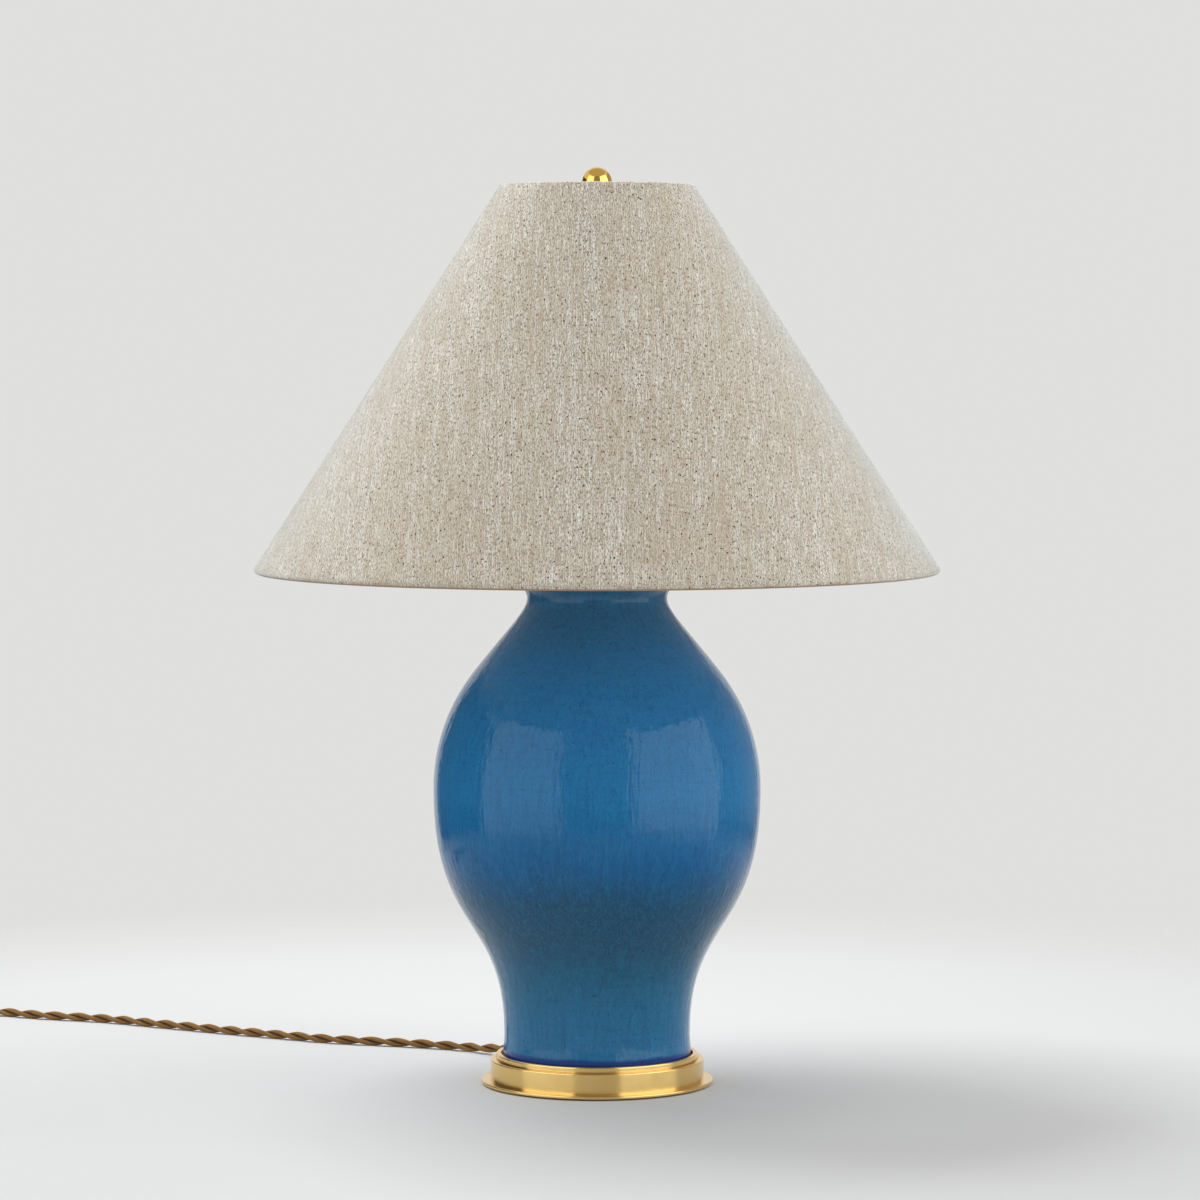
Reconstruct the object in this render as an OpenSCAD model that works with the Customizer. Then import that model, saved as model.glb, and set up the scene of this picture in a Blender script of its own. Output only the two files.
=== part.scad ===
// Ceramic table lamp: a glazed baluster vase on a stepped brass base, with a wide cone shade
// carried by a harp, a turn-knob lamp socket and a twisted cloth cord. Millimetres, +Z up,
// origin on the table under the vase's axis.

/* [Base] */
// Thickness of the felt pad that the lamp stands on
felt_t = 1; // [0.5:0.25:3]
// How far the felt is set back from the flange's edge
felt_inset = 4; // [2:0.5:6]
// How far the flange at the foot of the base stands out past the band
flange_w = 7; // [5:0.2:12]
// Thickness of the flange
flange_t = 2.5; // [1.5:0.25:4]
// Width of the ledge on top of the band, round the raised ring
ledge_w = 4.5; // [3:0.1:6.5]
// Height of the band above the flange
band_h = 15.2; // [14.6:0.2:24]
// Thickness of the raised ring round the vase's foot
ring_t = 3.5; // [2:0.1:5]
// Height of the raised ring above the band
ring_h = 4.2; // [2.8:0.2:7]
// Gap between the vase's foot and the raised ring
foot_gap = 1.5; // [0.8:0.1:2.5]
// Wall of the spun brass band
band_wall = 2.5; // [1.5:0.25:3]
// Thickness of the plate that carries the vase
plate_t = 2.5; // [1.5:0.25:3.5]
// Depth of the plate's top below the raised ring's top
seat_depth = 5.9; // [5:0.1:7]
// Gap between the iron ballast under the plate and the band
ballast_gap = 3.1; // [1:0.1:17]
// Radius of the recess in the ballast round the nut
ballast_recess_r = 26; // [18:0.5:40]
// Height of the ballast's web, which the nut clamps
web_t = 2.8; // [2:0.2:3]

/* [Vase] */
// Height of the vase from its foot to its lip
vase_h = 359.8; // [330:0.2:400]
// Radius of the vase's foot where it stands straight
foot_r = 69.3; // [68:0.1:69.6]
// How much the glazed edge of the foot stands out below that
foot_bead = 0.8; // [0.4:0.1:1.2]
// Radius of the belly
belly_r = 121.9; // [105:0.1:140]
// Height of the belly above the foot
belly_h = 202; // [185:0.5:215]
// Radius of the neck at its narrowest
neck_r = 52.1; // [48:0.1:58]
// Depth of the narrowest neck below the lip
neck_drop = 15.5; // [14:0.5:18]
// Radius of the shoulder where the belly's curve runs out
shoulder_r = 85.9; // [80:0.1:90]
// Depth of that shoulder below the lip
shoulder_drop = 63; // [58:0.5:68]
// Angle at which the shoulder leans in there, from upright
shoulder_lean = 38.5; // [36:0.5:41]
// Radius of the lip
lip_r = 60; // [57:0.1:64]
// Wall of the vase
vase_wall = 6; // [4:0.25:8]
// Thickness of the vase's floor
floor_t = 8; // [5:0.5:12]
// Width of the ring that the vase stands on
foot_ring_w = 8; // [6:0.5:10]
// Thickness of the rubber ring under the foot
gasket_t = 1.2; // [0.6:0.1:2.5]

/* [Stem] */
// Radius of the threaded pipe that holds the lamp together
pipe_r = 5; // [4.6:0.05:5.4]
// Wall of the threaded pipe
pipe_wall = 1.6; // [1.2:0.05:1.7]
// Height of the brass cap on the vase's lip
cap_h = 8; // [6:0.5:14]
// Height of the turned neck above the cap
stem_h = 13.6; // [10:0.2:30]
// Largest radius of the turned neck
stem_r = 11; // [9:0.5:14]
// Width of the nuts across their flats
nut_w = 17; // [15:0.5:20]
// Thickness of the nuts
nut_t = 3; // [2:0.25:3.2]
// Thickness of the washer under the lower nut
washer_t = 0.9; // [0.6:0.1:1.2]

/* [Harp] */
// Height of the harp from its saddle to the seat of the shade
harp_h = 254; // [215:1:300]
// Radius of the harp's wire
harp_wire_r = 1.6; // [1.2:0.1:1.8]
// Distance from the lamp's axis to each leg of the harp
leg_x = 27.25; // [24:0.25:32]
// Straight length of each leg
leg_h = 30; // [28.5:0.5:36]
// Radius of the bend where a leg leaves its saddle
leg_bend_r = 30; // [20:1:40]
// Angle that the flank leans out by
flank_lean = 33; // [26:1:38]
// Angle at which the flank meets the crown
crown_lean = 30; // [24:1:36]
// Thickness of the saddle's strap and prongs
saddle_t = 1.6; // [1.2:0.1:2]
// Width of the saddle's strap
saddle_w = 13; // [12:0.5:16]
// Height of the saddle's prongs
prong_h = 11; // [8:0.5:12]
// Length of the locking sleeves
sleeve_h = 14; // [10:0.5:15]
// Wall of the locking sleeves
sleeve_wall = 0.9; // [0.6:0.1:1.5]
// Radius of the seat that the shade rests on
seat_r = 9.5; // [8:0.25:10.5]
// Thickness of that seat
seat_t = 2.2; // [1.5:0.1:3]
// Radius of the threaded stud on the seat
stud_r = 3.1; // [2.5:0.05:3.6]

/* [Shade] */
// Radius at which the shade's slope reaches its lower rim
shade_bottom_r = 255; // [220:0.5:290]
// Radius of the shade's upper rim
shade_top_r = 71; // [60:0.5:90]
// Height of the shade
shade_h = 286; // [250:0.5:300]
// Depth of the shade's hub below the upper rim
hub_drop = 12.7; // [8:0.1:16]
// Thickness of the hub washer
hub_t = 1.6; // [1.2:0.1:2.4]
// Radius of the hub washer
hub_r = 12.7; // [11.5:0.1:16]
// Radius of the wire in the shade's rings
frame_wire_r = 1.4; // [1.3:0.1:1.8]
// Radius of the wire in the shade's arms
arm_wire_r = 1.2; // [1:0.1:1.2]
// Number of arms on the upper ring
arm_count = 3; // [3:1:4]
// Thickness of the linen cover
cover_t = 0.9; // [0.6:0.1:1.4]
// Thickness of the stiff lining
lining_t = 0.6; // [0.4:0.1:1]
// Width of the linen that is turned in over each ring
hem_w = 14; // [10:0.5:20]
// Radius of the finial's ball
ball_r = 11.2; // [8:0.1:14]
// Height of the ball's centre above the hub
ball_rise = 13.2; // [12.6:0.1:16]

/* [Socket] */
// Outer radius of the socket's brass shell
socket_r = 17; // [16.5:0.1:18.5]
// Length of the socket's brass shell
socket_h = 45; // [43:0.5:50]
// Thickness of the socket's brass
socket_wall = 0.7; // [0.5:0.05:0.9]
// Height of the bush at the foot of the socket cap
bush_h = 7.5; // [6:0.5:10]
// Radius of that bush
bush_r = 8.8; // [7.5:0.1:10]
// Height of the flare of the socket cap
flare_h = 8.5; // [7:0.5:11]
// Height of the socket's insulating body above the flare
body_h = 19; // [18:0.5:20]
// Inner radius of the screw shell
screw_r = 13.35; // [13.2:0.05:13.6]
// Height of the switch's shaft above the flare
knob_z = 13; // [12:0.25:14]
// Radius of the switch's shaft
shaft_r = 1.9; // [1.5:0.05:2.2]
// Radius of the switch's knob
knob_r = 5; // [4:0.25:6]
// Length of the switch's knob
knob_l = 13; // [8:0.5:18]

/* [Bulb] */
// Radius of the bulb's glass
bulb_r = 30; // [20:0.5:33]
// Length of the bulb from its contact to its crown
bulb_h = 110; // [98:1:120]
// Thickness of the bulb's glass
glass_t = 1; // [0.6:0.1:1.5]
// Radius of the bulb's screw base
bulb_base_r = 13.1; // [12.8:0.05:13.15]

/* [Cord] */
// Radius of the twisted cord
cord_r = 3.5; // [2.8:0.1:3.6]
// Direction in which the cord leaves the base, in degrees from +X
cord_dir = 120; // [115:1:125]
// Height of the cord's hole above the flange
cord_rise = 7; // [6.8:0.1:7.4]
// Length of the tapered strain relief outside the base
relief_l = 23; // [20:0.5:25]
// Number of turns in the coil of spare cord
coil_turns = 4.25; // [3.25:1:4.25]
// Distance from one turn of the coil to the next
coil_pitch = 7.7; // [7.6:0.1:8.4]

/* [Plug] */
// Length of the plug's body
plug_l = 38; // [34:0.5:44]
// Largest radius of the plug's body
plug_r = 14; // [13:0.25:16]
// Half the thickness of the plug between its flats
plug_flat = 10; // [9:0.25:11]
// Length of the blades outside the plug
blade_l = 17.5; // [16:0.5:19]
// Distance between the blades
blade_gap = 12.7; // [12:0.1:13.5]

/* [Clearances] */
// Gap between pieces that are screwed, glued or stacked together
fit_gap = 0.1; // [0.05:0.05:0.2]
// Radial gap of a shaft that turns in its hole
run_gap = 0.05; // [0.02:0.01:0.1]
// Gap between flat faces that turn on each other
face_gap = 0.05; // [0.02:0.01:0.1]
// Gap round loose inner pieces
loose_gap = 0.3; // [0.2:0.05:0.4]

/* [Hidden] */
$fn = 64;

// Heights from the table upwards, each from the piece below it
flange_z = felt_t + flange_t;
ledge_z = flange_z + band_h;
ring_z = ledge_z + ring_h;
plate_z = ring_z - seat_depth;
web_z = plate_z - plate_t - web_t;
nut_z = web_z - washer_t - nut_t;
pipe_z = nut_z - 0.8;
foot_z = plate_z + gasket_t;
lip_z = foot_z + vase_h;
cap_z = lip_z + cap_h;
saddle_z = cap_z + stem_h;
strap_z = saddle_z + saddle_t;
socket_z = strap_z + nut_t;
flare_z = socket_z + bush_h;
body_z = flare_z + flare_h;
body_top_z = body_z + body_h;
seat_z = strap_z + harp_h;
hub_z = seat_z + face_gap;
hub_top_z = hub_z + hub_t;
shade_z = hub_top_z + hub_drop;
ball_z = hub_top_z + ball_rise;
stud_z = ball_z - 3;

// Radii that follow from the others
ring_in_r = foot_r + foot_bead + foot_gap;
ring_r = ring_in_r + ring_t;
band_r = ring_r + ledge_w;
flange_r = band_r + flange_w;
bore_r = pipe_r + fit_gap;
pipe_in_r = pipe_r - pipe_wall;
mouth_r = neck_r - vase_wall;
cord_z = flange_z + cord_rise;
band_in_r = band_r - band_wall;
nut_r = nut_w / sqrt(3);
// How far a ball stands out of the bars that it joins
seam = 0.02;

// Points of an arc, from angle a to angle b
function arc(x, y, r, a, b, n) = [for (i = [0:n])
    let (turn = a + (b - a) * i / n) [x + r * cos(turn), y + r * sin(turn)]];

// Points of a cubic curve through p0 and p3, drawn towards p1 and p2
function curve(p0, p1, p2, p3, n) = [for (i = [0:n])
    let (t = i / n, u = 1 - t) u * u * u * p0 + 3 * u * u * t * p1 + 3 * u * t * t * p2 + t * t * t * p3];

// The same points moved sideways by w, to the left of their direction
function moved(p, w) = [for (i = [0:len(p) - 1])
    let (d = p[min(i + 1, len(p) - 1)] - p[max(i - 1, 0)]) p[i] + w * [-d.y, d.x] / norm(d)];

function unit(v) = v / norm(v);

function last(p) = p[len(p) - 1];

// All points but the first
function tail(p) = [for (i = [1:len(p) - 1]) p[i]];

// The points in the opposite order
function back(p) = [for (i = [len(p) - 1:-1:0]) p[i]];

// The direction of a path at its point i, which is end_a at its start and end_b at its end
function heading(p, i, end_a, end_b) =
    i == 0 ? end_a : i == len(p) - 1 ? end_b : unit(p[i + 1] - p[i - 1]);

// One ring of a tube round a path point
function ring_at(c, t, r, sides) =
    let (side = unit(cross(t, [0, 0, 1])), up = cross(side, t))
    [for (k = [0:sides - 1]) let (a = 360 * k / sides - 90) c + r * (cos(a) * side + sin(a) * up)];

// A closed tube swept along a path
module tube(path, r, sides, end_a, end_b) {
    rings = len(path);
    points = [for (i = [0:rings - 1]) each ring_at(path[i], heading(path, i, end_a, end_b), r, sides)];
    walls = [for (i = [0:rings - 2], k = [0:sides - 1])
        let (a = i * sides + k, b = i * sides + (k + 1) % sides)
        each [[a, b, a + sides], [b, b + sides, a + sides]]];
    start_cap = [for (k = [sides - 1:-1:0]) k];
    end_cap = [for (k = [0:sides - 1]) (rings - 1) * sides + k];
    polyhedron(points, concat(walls, [start_cap], [end_cap]));
}

// A round bar from a to b
module bar(a, b, r) {
    d = b - a;
    translate(a)
        rotate([0, acos(d.z / norm(d)), atan2(d.y, d.x)])
            cylinder(h = norm(d), r = r);
}

// A ball that joins two bars of radius r end to end
module joint_ball(p, r) {
    translate(p)
        sphere(r = r + seam);
}

// A hexagon nut on the pipe, standing on z
module pipe_nut(z, t) {
    translate([0, 0, z])
        difference() {
            cylinder(h = t, r = nut_r, $fn = 6);
            translate([0, 0, -1])
                cylinder(h = t + 2, r = bore_r);
        }
}

// Turns a child from its own +X to the direction of the cord's hole
module at_cord_hole() {
    rotate([0, 0, cord_dir])
        translate([0, 0, cord_z])
            rotate([0, 90, 0])
                children();
}

// Base

// Rounds of the flange and band, of the ring's outer edge and of its inner edge
edge_r = 0.9;
ring_round = 1.1;
ring_ease = 0.5;
// The dark groove at the foot of the ring
groove_w = 0.8;
groove_d = 0.7;
// The cord's hole through the band, with a flat face inside for the bushing's collar
cord_hole_r = cord_r + 1.6;
collar_r = cord_hole_r + 1.4;
spot_x = band_in_r + 0.3;
spot_l = 2.5;

module base_shell() {
    profile = concat(
        [[band_in_r, felt_t]],
        arc(flange_r - edge_r, felt_t + edge_r, edge_r, -90, 0, 4),
        arc(flange_r - edge_r, flange_z - edge_r, edge_r, 0, 90, 4),
        [[band_r, flange_z]],
        arc(band_r - edge_r, ledge_z - edge_r, edge_r, 0, 90, 4),
        [[ring_r + groove_w, ledge_z], [ring_r + groove_w, ledge_z - groove_d], [ring_r, ledge_z - groove_d]],
        arc(ring_r - ring_round, ring_z - ring_round, ring_round, 0, 90, 5),
        arc(ring_in_r + ring_ease, ring_z - ring_ease, ring_ease, 90, 180, 3),
        [[ring_in_r, plate_z], [bore_r, plate_z], [bore_r, plate_z - plate_t],
            [band_in_r, plate_z - plate_t]]);
    color("goldenrod")
        difference() {
            rotate_extrude()
                polygon(profile);
            at_cord_hole() {
                translate([0, 0, spot_x - spot_l])
                    cylinder(h = spot_l, r = collar_r + fit_gap);
                translate([0, 0, spot_x - 1])
                    cylinder(h = 2 * band_wall + 1, r = cord_hole_r + fit_gap);
            }
        }
}

module base_felt() {
    color("darkolivegreen")
        cylinder(h = felt_t, r = flange_r - felt_inset);
}

// A heavy iron disc, with a recess for the nut and a slot for the wires
module base_ballast() {
    ballast_z = felt_t + 1.5;
    top_z = plate_z - plate_t;
    slot_w = 2 * collar_r + 2;
    color("dimgray")
        difference() {
            translate([0, 0, ballast_z])
                cylinder(h = top_z - ballast_z, r = band_in_r - ballast_gap);
            translate([0, 0, ballast_z - 1])
                cylinder(h = web_z - ballast_z + 1, r = ballast_recess_r);
            translate([0, 0, ballast_z - 1])
                cylinder(h = top_z, r = bore_r);
            rotate([0, 0, cord_dir])
                translate([nut_r, -slot_w / 2, ballast_z - 1])
                    cube([band_r, slot_w, top_z]);
        }
}

module base_washer() {
    color("silver")
        translate([0, 0, web_z - washer_t])
            difference() {
                cylinder(h = washer_t, r = nut_r + 1);
                translate([0, 0, -1])
                    cylinder(h = washer_t + 2, r = bore_r);
            }
}

module base_nut() {
    color("goldenrod")
        pipe_nut(nut_z, nut_t);
}

relief_start = band_r + face_gap;
relief_end = relief_start + relief_l;

// A snap-in bushing with a collar on each side of the band, whose outside tapers along the cord
module cord_bushing() {
    cord_bore_r = cord_r + 0.15;
    collar_t = 1.8;
    snap_t = 1.6;
    snap_x = spot_x - fit_gap;
    taper_r = cord_r + 2;
    tip_r = cord_r + 1.1;
    ease = 0.5;
    profile = [[cord_bore_r, snap_x - snap_t], [cord_hole_r + ease, snap_x - snap_t],
        [collar_r, snap_x - snap_t / 2], [collar_r, snap_x], [cord_hole_r, snap_x],
        [cord_hole_r, relief_start], [collar_r, relief_start], [collar_r, relief_start + collar_t - ease],
        [collar_r - ease, relief_start + collar_t], [taper_r, relief_start + collar_t],
        [tip_r, relief_end - ease], [tip_r - ease, relief_end], [cord_bore_r, relief_end]];
    color("saddlebrown")
        at_cord_hole()
            rotate_extrude()
                polygon(profile);
}

// Vase

// The foot: its round lower edge, the glazed bead above that and the height where it runs straight
foot_round = 4.1;
bead_h = 5.5;
foot_straight = 20;
foot_ring_r = foot_r + foot_bead - foot_round;
// Round of the lip's edge
lip_round = 2;

// How far the outline's curves pull along their tangents, from the foot up to the neck
foot_pull = 88;
under_belly_pull = 108;
over_belly_pull = 54.5;
above_pull = 10;
shoulder_pull = 34;
under_neck_pull = 9;
neck_pull = 5;

// The outside of the vase from the glazed edge of its foot to its lip
function vase_outside() =
    let (bead = [foot_r + foot_bead, foot_z + bead_h], low = [foot_r, foot_z + foot_straight],
        belly = [belly_r, foot_z + belly_h], shoulder = [shoulder_r, lip_z - shoulder_drop],
        lean = [-sin(shoulder_lean), cos(shoulder_lean)], neck = [neck_r, lip_z - neck_drop],
        lip = [lip_r, lip_z - 1.5 * lip_round])
    concat(
        curve(bead, bead + [0, 4], low - [0, 6], low, 4),
        tail(curve(low, low + [0, foot_pull], belly - [0, under_belly_pull], belly, 28)),
        tail(curve(belly, belly + [0, over_belly_pull], shoulder - above_pull * lean, shoulder, 20)),
        tail(curve(shoulder, shoulder + shoulder_pull * lean, neck - [0, under_neck_pull], neck, 14)),
        tail(curve(neck, neck + [0, neck_pull], lip - [3.5, 3.5], lip, 6)));

// A thrown pot: hollow to its floor, which has the pipe's hole and stands on a foot ring
module vase_body() {
    outside = vase_outside();
    under_z = foot_z + 4;
    floor_z = under_z + floor_t;
    inside = [for (p = moved(outside, vase_wall)) if (p.y > floor_z + 4 && p.y < lip_z - lip_round) p];
    foot = arc(foot_ring_r, foot_z + foot_round, foot_round, -90, -8, 5);
    lip = arc(lip_r - lip_round, lip_z - lip_round, lip_round, -20, 90, 5);
    hole_r = pipe_r + 2;
    under_r = foot_ring_r - foot_ring_w;
    corner_r = inside[0].x;
    profile = concat(
        [[hole_r, under_z], [under_r - 1, under_z], [under_r, under_z - 1], [under_r, foot_z]],
        foot, outside, lip, [[last(inside).x + 1, lip_z]], back(inside),
        [[corner_r - 0.6, floor_z + 2], [corner_r - 4, floor_z], [hole_r, floor_z]]);
    color("steelblue")
        rotate_extrude($fn = 128)
            polygon(profile);
}

module foot_gasket() {
    color("dimgray")
        translate([0, 0, plate_z])
            difference() {
                cylinder(h = gasket_t, r = foot_ring_r);
                translate([0, 0, -1])
                    cylinder(h = gasket_t + 2, r = foot_ring_r - foot_ring_w + 1);
            }
}

// Stem

module center_pipe() {
    color("darkgoldenrod")
        translate([0, 0, pipe_z])
            difference() {
                cylinder(h = flare_z - pipe_z, r = pipe_r);
                translate([0, 0, -1])
                    cylinder(h = flare_z - pipe_z + 2, r = pipe_in_r);
            }
}

// A spun cap on the lip, hollow under its dome, with a collar that centres it in the neck
module vase_cap() {
    cap_r = lip_r - 2;
    edge = 1;
    collar_z = lip_z - neck_drop - 2;
    collar_in_r = mouth_r - 1.7;
    hollow_r = collar_in_r - 4;
    crown_t = 3;
    profile = concat(
        [[collar_in_r, lip_z], [collar_in_r, collar_z], [mouth_r - loose_gap, collar_z],
            [mouth_r - loose_gap, lip_z]],
        arc(cap_r - edge, lip_z + edge, edge, -90, 90, 6),
        curve([cap_r - 5, lip_z + 2 * edge], [cap_r - 16, lip_z + 3], [stem_r + 14, cap_z - 0.6],
            [stem_r + 2, cap_z], 8),
        [[bore_r, cap_z], [bore_r, cap_z - crown_t], [stem_r + 6, cap_z - crown_t],
            [hollow_r, lip_z + 0.4], [hollow_r, lip_z]]);
    color("goldenrod")
        rotate_extrude()
            polygon(profile);
}

// A short turned neck between the cap and the harp's saddle
module stem_neck() {
    bead = 1.2;
    waist_r = stem_r - 3.4;
    middle = [waist_r - 0.8, cap_z + stem_h / 2];
    top_r = stem_r - 1.6;
    profile = concat(
        [[bore_r, cap_z]],
        arc(stem_r - bead, cap_z + bead, bead, -90, 90, 6),
        curve([waist_r, cap_z + 2 * bead + 1], middle, middle, [waist_r, saddle_z - 3], 6),
        [[top_r, saddle_z - 2], [top_r, saddle_z], [bore_r, saddle_z]]);
    color("goldenrod")
        rotate_extrude()
            polygon(profile);
}

// Harp

// The wire's centreline at the top, and where each leg ends
wire_top_z = seat_z - seat_t - harp_wire_r - face_gap;
leg_top_z = strap_z + leg_h;
// The prongs stand outside the legs, and a sleeve goes round both
prong_x = leg_x + harp_wire_r + fit_gap;
prong_w = 4.8;
sleeve_x = (leg_x - harp_wire_r + prong_x + saddle_t) / 2;
sleeve_in_r = norm([prong_x + saddle_t - sleeve_x, prong_w / 2]) + 2 * run_gap;

// The flank's and the crown's radii, from the two sums that close the harp on its axis
lean_x = leg_x + leg_bend_r * (1 - cos(flank_lean));
lean_z = wire_top_z - leg_top_z - leg_bend_r * sin(flank_lean);
cross_x = cos(crown_lean) - cos(flank_lean);
cross_z = sin(flank_lean) + sin(crown_lean);
rise = 1 - sin(crown_lean);
flank_r = (lean_z * cos(crown_lean) - lean_x * rise) / (cross_z * cos(crown_lean) + cross_x * rise);
crown_r = (lean_x + flank_r * cross_x) / cos(crown_lean);

// Part of a wire ring in the XZ plane, from angle a, through sweep degrees
module wire_arc(x, z, r, a, sweep) {
    translate([x, 0, z])
        rotate([90, 0, 0])
            rotate([0, 0, a])
                rotate_extrude(angle = sweep, $fn = 96)
                    translate([r, 0])
                        circle(r = harp_wire_r, $fn = 32);
}

// One half of the harp: leg, bend, flank and crown, each running on from the last
module harp_half() {
    bend_x = leg_x + leg_bend_r;
    flank_x = bend_x - (leg_bend_r + flank_r) * cos(flank_lean);
    flank_z = leg_top_z + (leg_bend_r + flank_r) * sin(flank_lean);
    joint_ball([leg_x, 0, leg_top_z], harp_wire_r);
    joint_ball([lean_x, 0, leg_top_z + leg_bend_r * sin(flank_lean)], harp_wire_r);
    joint_ball([crown_r * cos(crown_lean), 0, wire_top_z - crown_r * rise], harp_wire_r);
    translate([leg_x, 0, strap_z + loose_gap])
        cylinder(h = leg_top_z - strap_z - loose_gap, r = harp_wire_r);
    wire_arc(bend_x, leg_top_z, leg_bend_r, 180 - flank_lean, flank_lean);
    wire_arc(flank_x, flank_z, flank_r, -flank_lean, flank_lean + crown_lean);
    wire_arc(0, wire_top_z - crown_r, crown_r, crown_lean, 90 - crown_lean);
}

// The eye at the top of the wire, and the rivet that holds the seat to it
rivet_r = 2;
eye_r = 5.4;
eye_t = 2 * harp_wire_r + face_gap;

// A closed bow of wire from leg to leg
module harp_wire() {
    color("goldenrod")
        difference() {
            union() {
                harp_half();
                mirror([1, 0, 0])
                    harp_half();
                translate([0, 0, wire_top_z - eye_t / 2])
                    cylinder(h = eye_t, r = eye_r);
            }
            translate([0, 0, wire_top_z - eye_t])
                cylinder(h = 2 * eye_t, r = rivet_r + fit_gap);
        }
}

// A strap with two upright prongs for the harp's legs and with cut corners
module harp_saddle() {
    corner = 4;
    color("goldenrod")
        difference() {
            union() {
                translate([-prong_x - saddle_t, -saddle_w / 2, saddle_z])
                    cube([2 * (prong_x + saddle_t), saddle_w, saddle_t]);
                for (side = [-1, 1]) {
                    translate([side * (prong_x + saddle_t / 2) - saddle_t / 2, -prong_w / 2, saddle_z])
                        cube([saddle_t, prong_w, saddle_t + prong_h]);
                }
            }
            translate([0, 0, saddle_z - 1])
                cylinder(h = saddle_t + 2, r = bore_r);
            for (turn = [0:90:270]) {
                rotate([0, 0, turn])
                    translate([prong_x + saddle_t, saddle_w / 2, saddle_z - 1])
                        rotate([0, 0, 45])
                            cube([corner, corner, 3 * saddle_t], center = true);
            }
        }
}

module saddle_nut() {
    color("goldenrod")
        pipe_nut(strap_z, nut_t);
}

// A locking sleeve round one leg and its prong, with a rolled lower rim
module harp_sleeve(side) {
    out_r = sleeve_in_r + sleeve_wall;
    rim = 0.5;
    rim_h = 1.6;
    color("gold")
        translate([side * sleeve_x, 0, strap_z + face_gap])
            rotate_extrude()
                polygon([[sleeve_in_r, 0], [out_r + rim, 0], [out_r + rim, rim_h], [out_r, rim_h + rim],
                    [out_r, sleeve_h - rim], [out_r - rim, sleeve_h], [sleeve_in_r, sleeve_h]]);
}

// A disc riveted to the harp's eye, with the stud that the finial screws on
module harp_seat() {
    rivet_z = wire_top_z - eye_t / 2 - loose_gap;
    head_h = 1.4;
    head_r = rivet_r + 1.3;
    ease = 0.4;
    profile = [[0, rivet_z - head_h], [rivet_r + ease, rivet_z - head_h], [head_r, rivet_z - head_h / 2],
        [head_r, rivet_z], [rivet_r, rivet_z], [rivet_r, seat_z - seat_t], [seat_r - ease, seat_z - seat_t],
        [seat_r, seat_z - seat_t + ease], [seat_r, seat_z - ease], [seat_r - ease, seat_z], [stud_r, seat_z],
        [stud_r, stud_z - ease], [stud_r - ease, stud_z], [0, stud_z]];
    color("goldenrod")
        rotate_extrude()
            polygon(profile);
}

// Socket

// The shell stands in the cap's skirt and is lined with an insulating sleeve
skirt_h = 6;
shell_z = body_z + 0.6;
shell_top_z = shell_z + socket_h;
shell_in_r = socket_r - socket_wall;
liner_t = 0.5;
liner_in_r = shell_in_r - fit_gap - liner_t;
cap_in_r = socket_r + fit_gap;
knob_axis_z = body_z + knob_z;
// Gap round the switch's shaft in the shell and its liner
shaft_room = 1.2;

// The bell-shaped cap that screws on the pipe and carries the shell
module socket_cap() {
    out_r = cap_in_r + socket_wall;
    ease = 0.6;
    ledge = 0.4;
    profile = concat(
        [[bore_r, socket_z], [bush_r - ease, socket_z], [bush_r, socket_z + ease]],
        curve([bush_r, flare_z - 1], [bush_r + 1, flare_z + 3], [out_r, flare_z + 3], [out_r, body_z], 7),
        arc(out_r, body_z + skirt_h - ease, ease, -60, 90, 4),
        [[cap_in_r, body_z + skirt_h], [cap_in_r, body_z]],
        back(curve([bush_r - 1, flare_z + ease], [bush_r + 1, flare_z + 4], [cap_in_r - ledge, flare_z + 4],
            [cap_in_r - ledge, body_z], 7)),
        [[bore_r, flare_z + ease]]);
    color("goldenrod")
        rotate_extrude()
            polygon(profile);
}

module shaft_hole(r) {
    translate([0, 0, knob_axis_z])
        rotate([90, 0, 0])
            cylinder(h = 2 * socket_r, r = r);
}

// The brass shell, with three turned beads and a rolled top rim
module socket_shell() {
    bead_step = 3;
    rim = 0.8;
    beads = [for (k = [0:2]) each arc(socket_r - 0.3, shell_top_z - (k + 3) * bead_step, 0.9, 70, -70, 4)];
    profile = concat(
        [[shell_in_r, shell_z], [socket_r, shell_z]], back(beads),
        arc(socket_r, shell_top_z - rim, rim, -80, 90, 5), [[shell_in_r, shell_top_z]]);
    color("goldenrod")
        difference() {
            rotate_extrude()
                polygon(profile);
            shaft_hole(shaft_r + shaft_room);
        }
}

module socket_liner() {
    color("tan")
        difference() {
            translate([0, 0, shell_z])
                cylinder(h = socket_h - 1.5, r = liner_in_r + liner_t);
            translate([0, 0, shell_z - 1])
                cylinder(h = socket_h + 2, r = liner_in_r);
            shaft_hole(shaft_r + shaft_room);
        }
}

body_r = liner_in_r - fit_gap;
body_foot_z = flare_z + 1.4;
// The pockets for the terminal screws
pocket_x = body_r - 3.4;
pocket_z = body_z + 8;
pocket_w = 8;

// The insulating body: it stands in the cap, holds the switch and carries the screw shell
module socket_body() {
    ease = 0.5;
    profile = [[0, body_foot_z], [bush_r - 2, body_foot_z], [bush_r, body_z - 4.4],
        [body_r - 3, body_z - ease], [body_r, shell_z], [body_r, body_top_z - ease],
        [body_r - ease, body_top_z], [0, body_top_z]];
    color("ivory")
        difference() {
            rotate_extrude()
                polygon(profile);
            shaft_hole(shaft_r + run_gap);
            for (side = [-1, 1]) {
                translate([side * (pocket_x + body_r / 2), 0, pocket_z])
                    cube([body_r, pocket_w, pocket_w], center = true);
            }
        }
}

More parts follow.
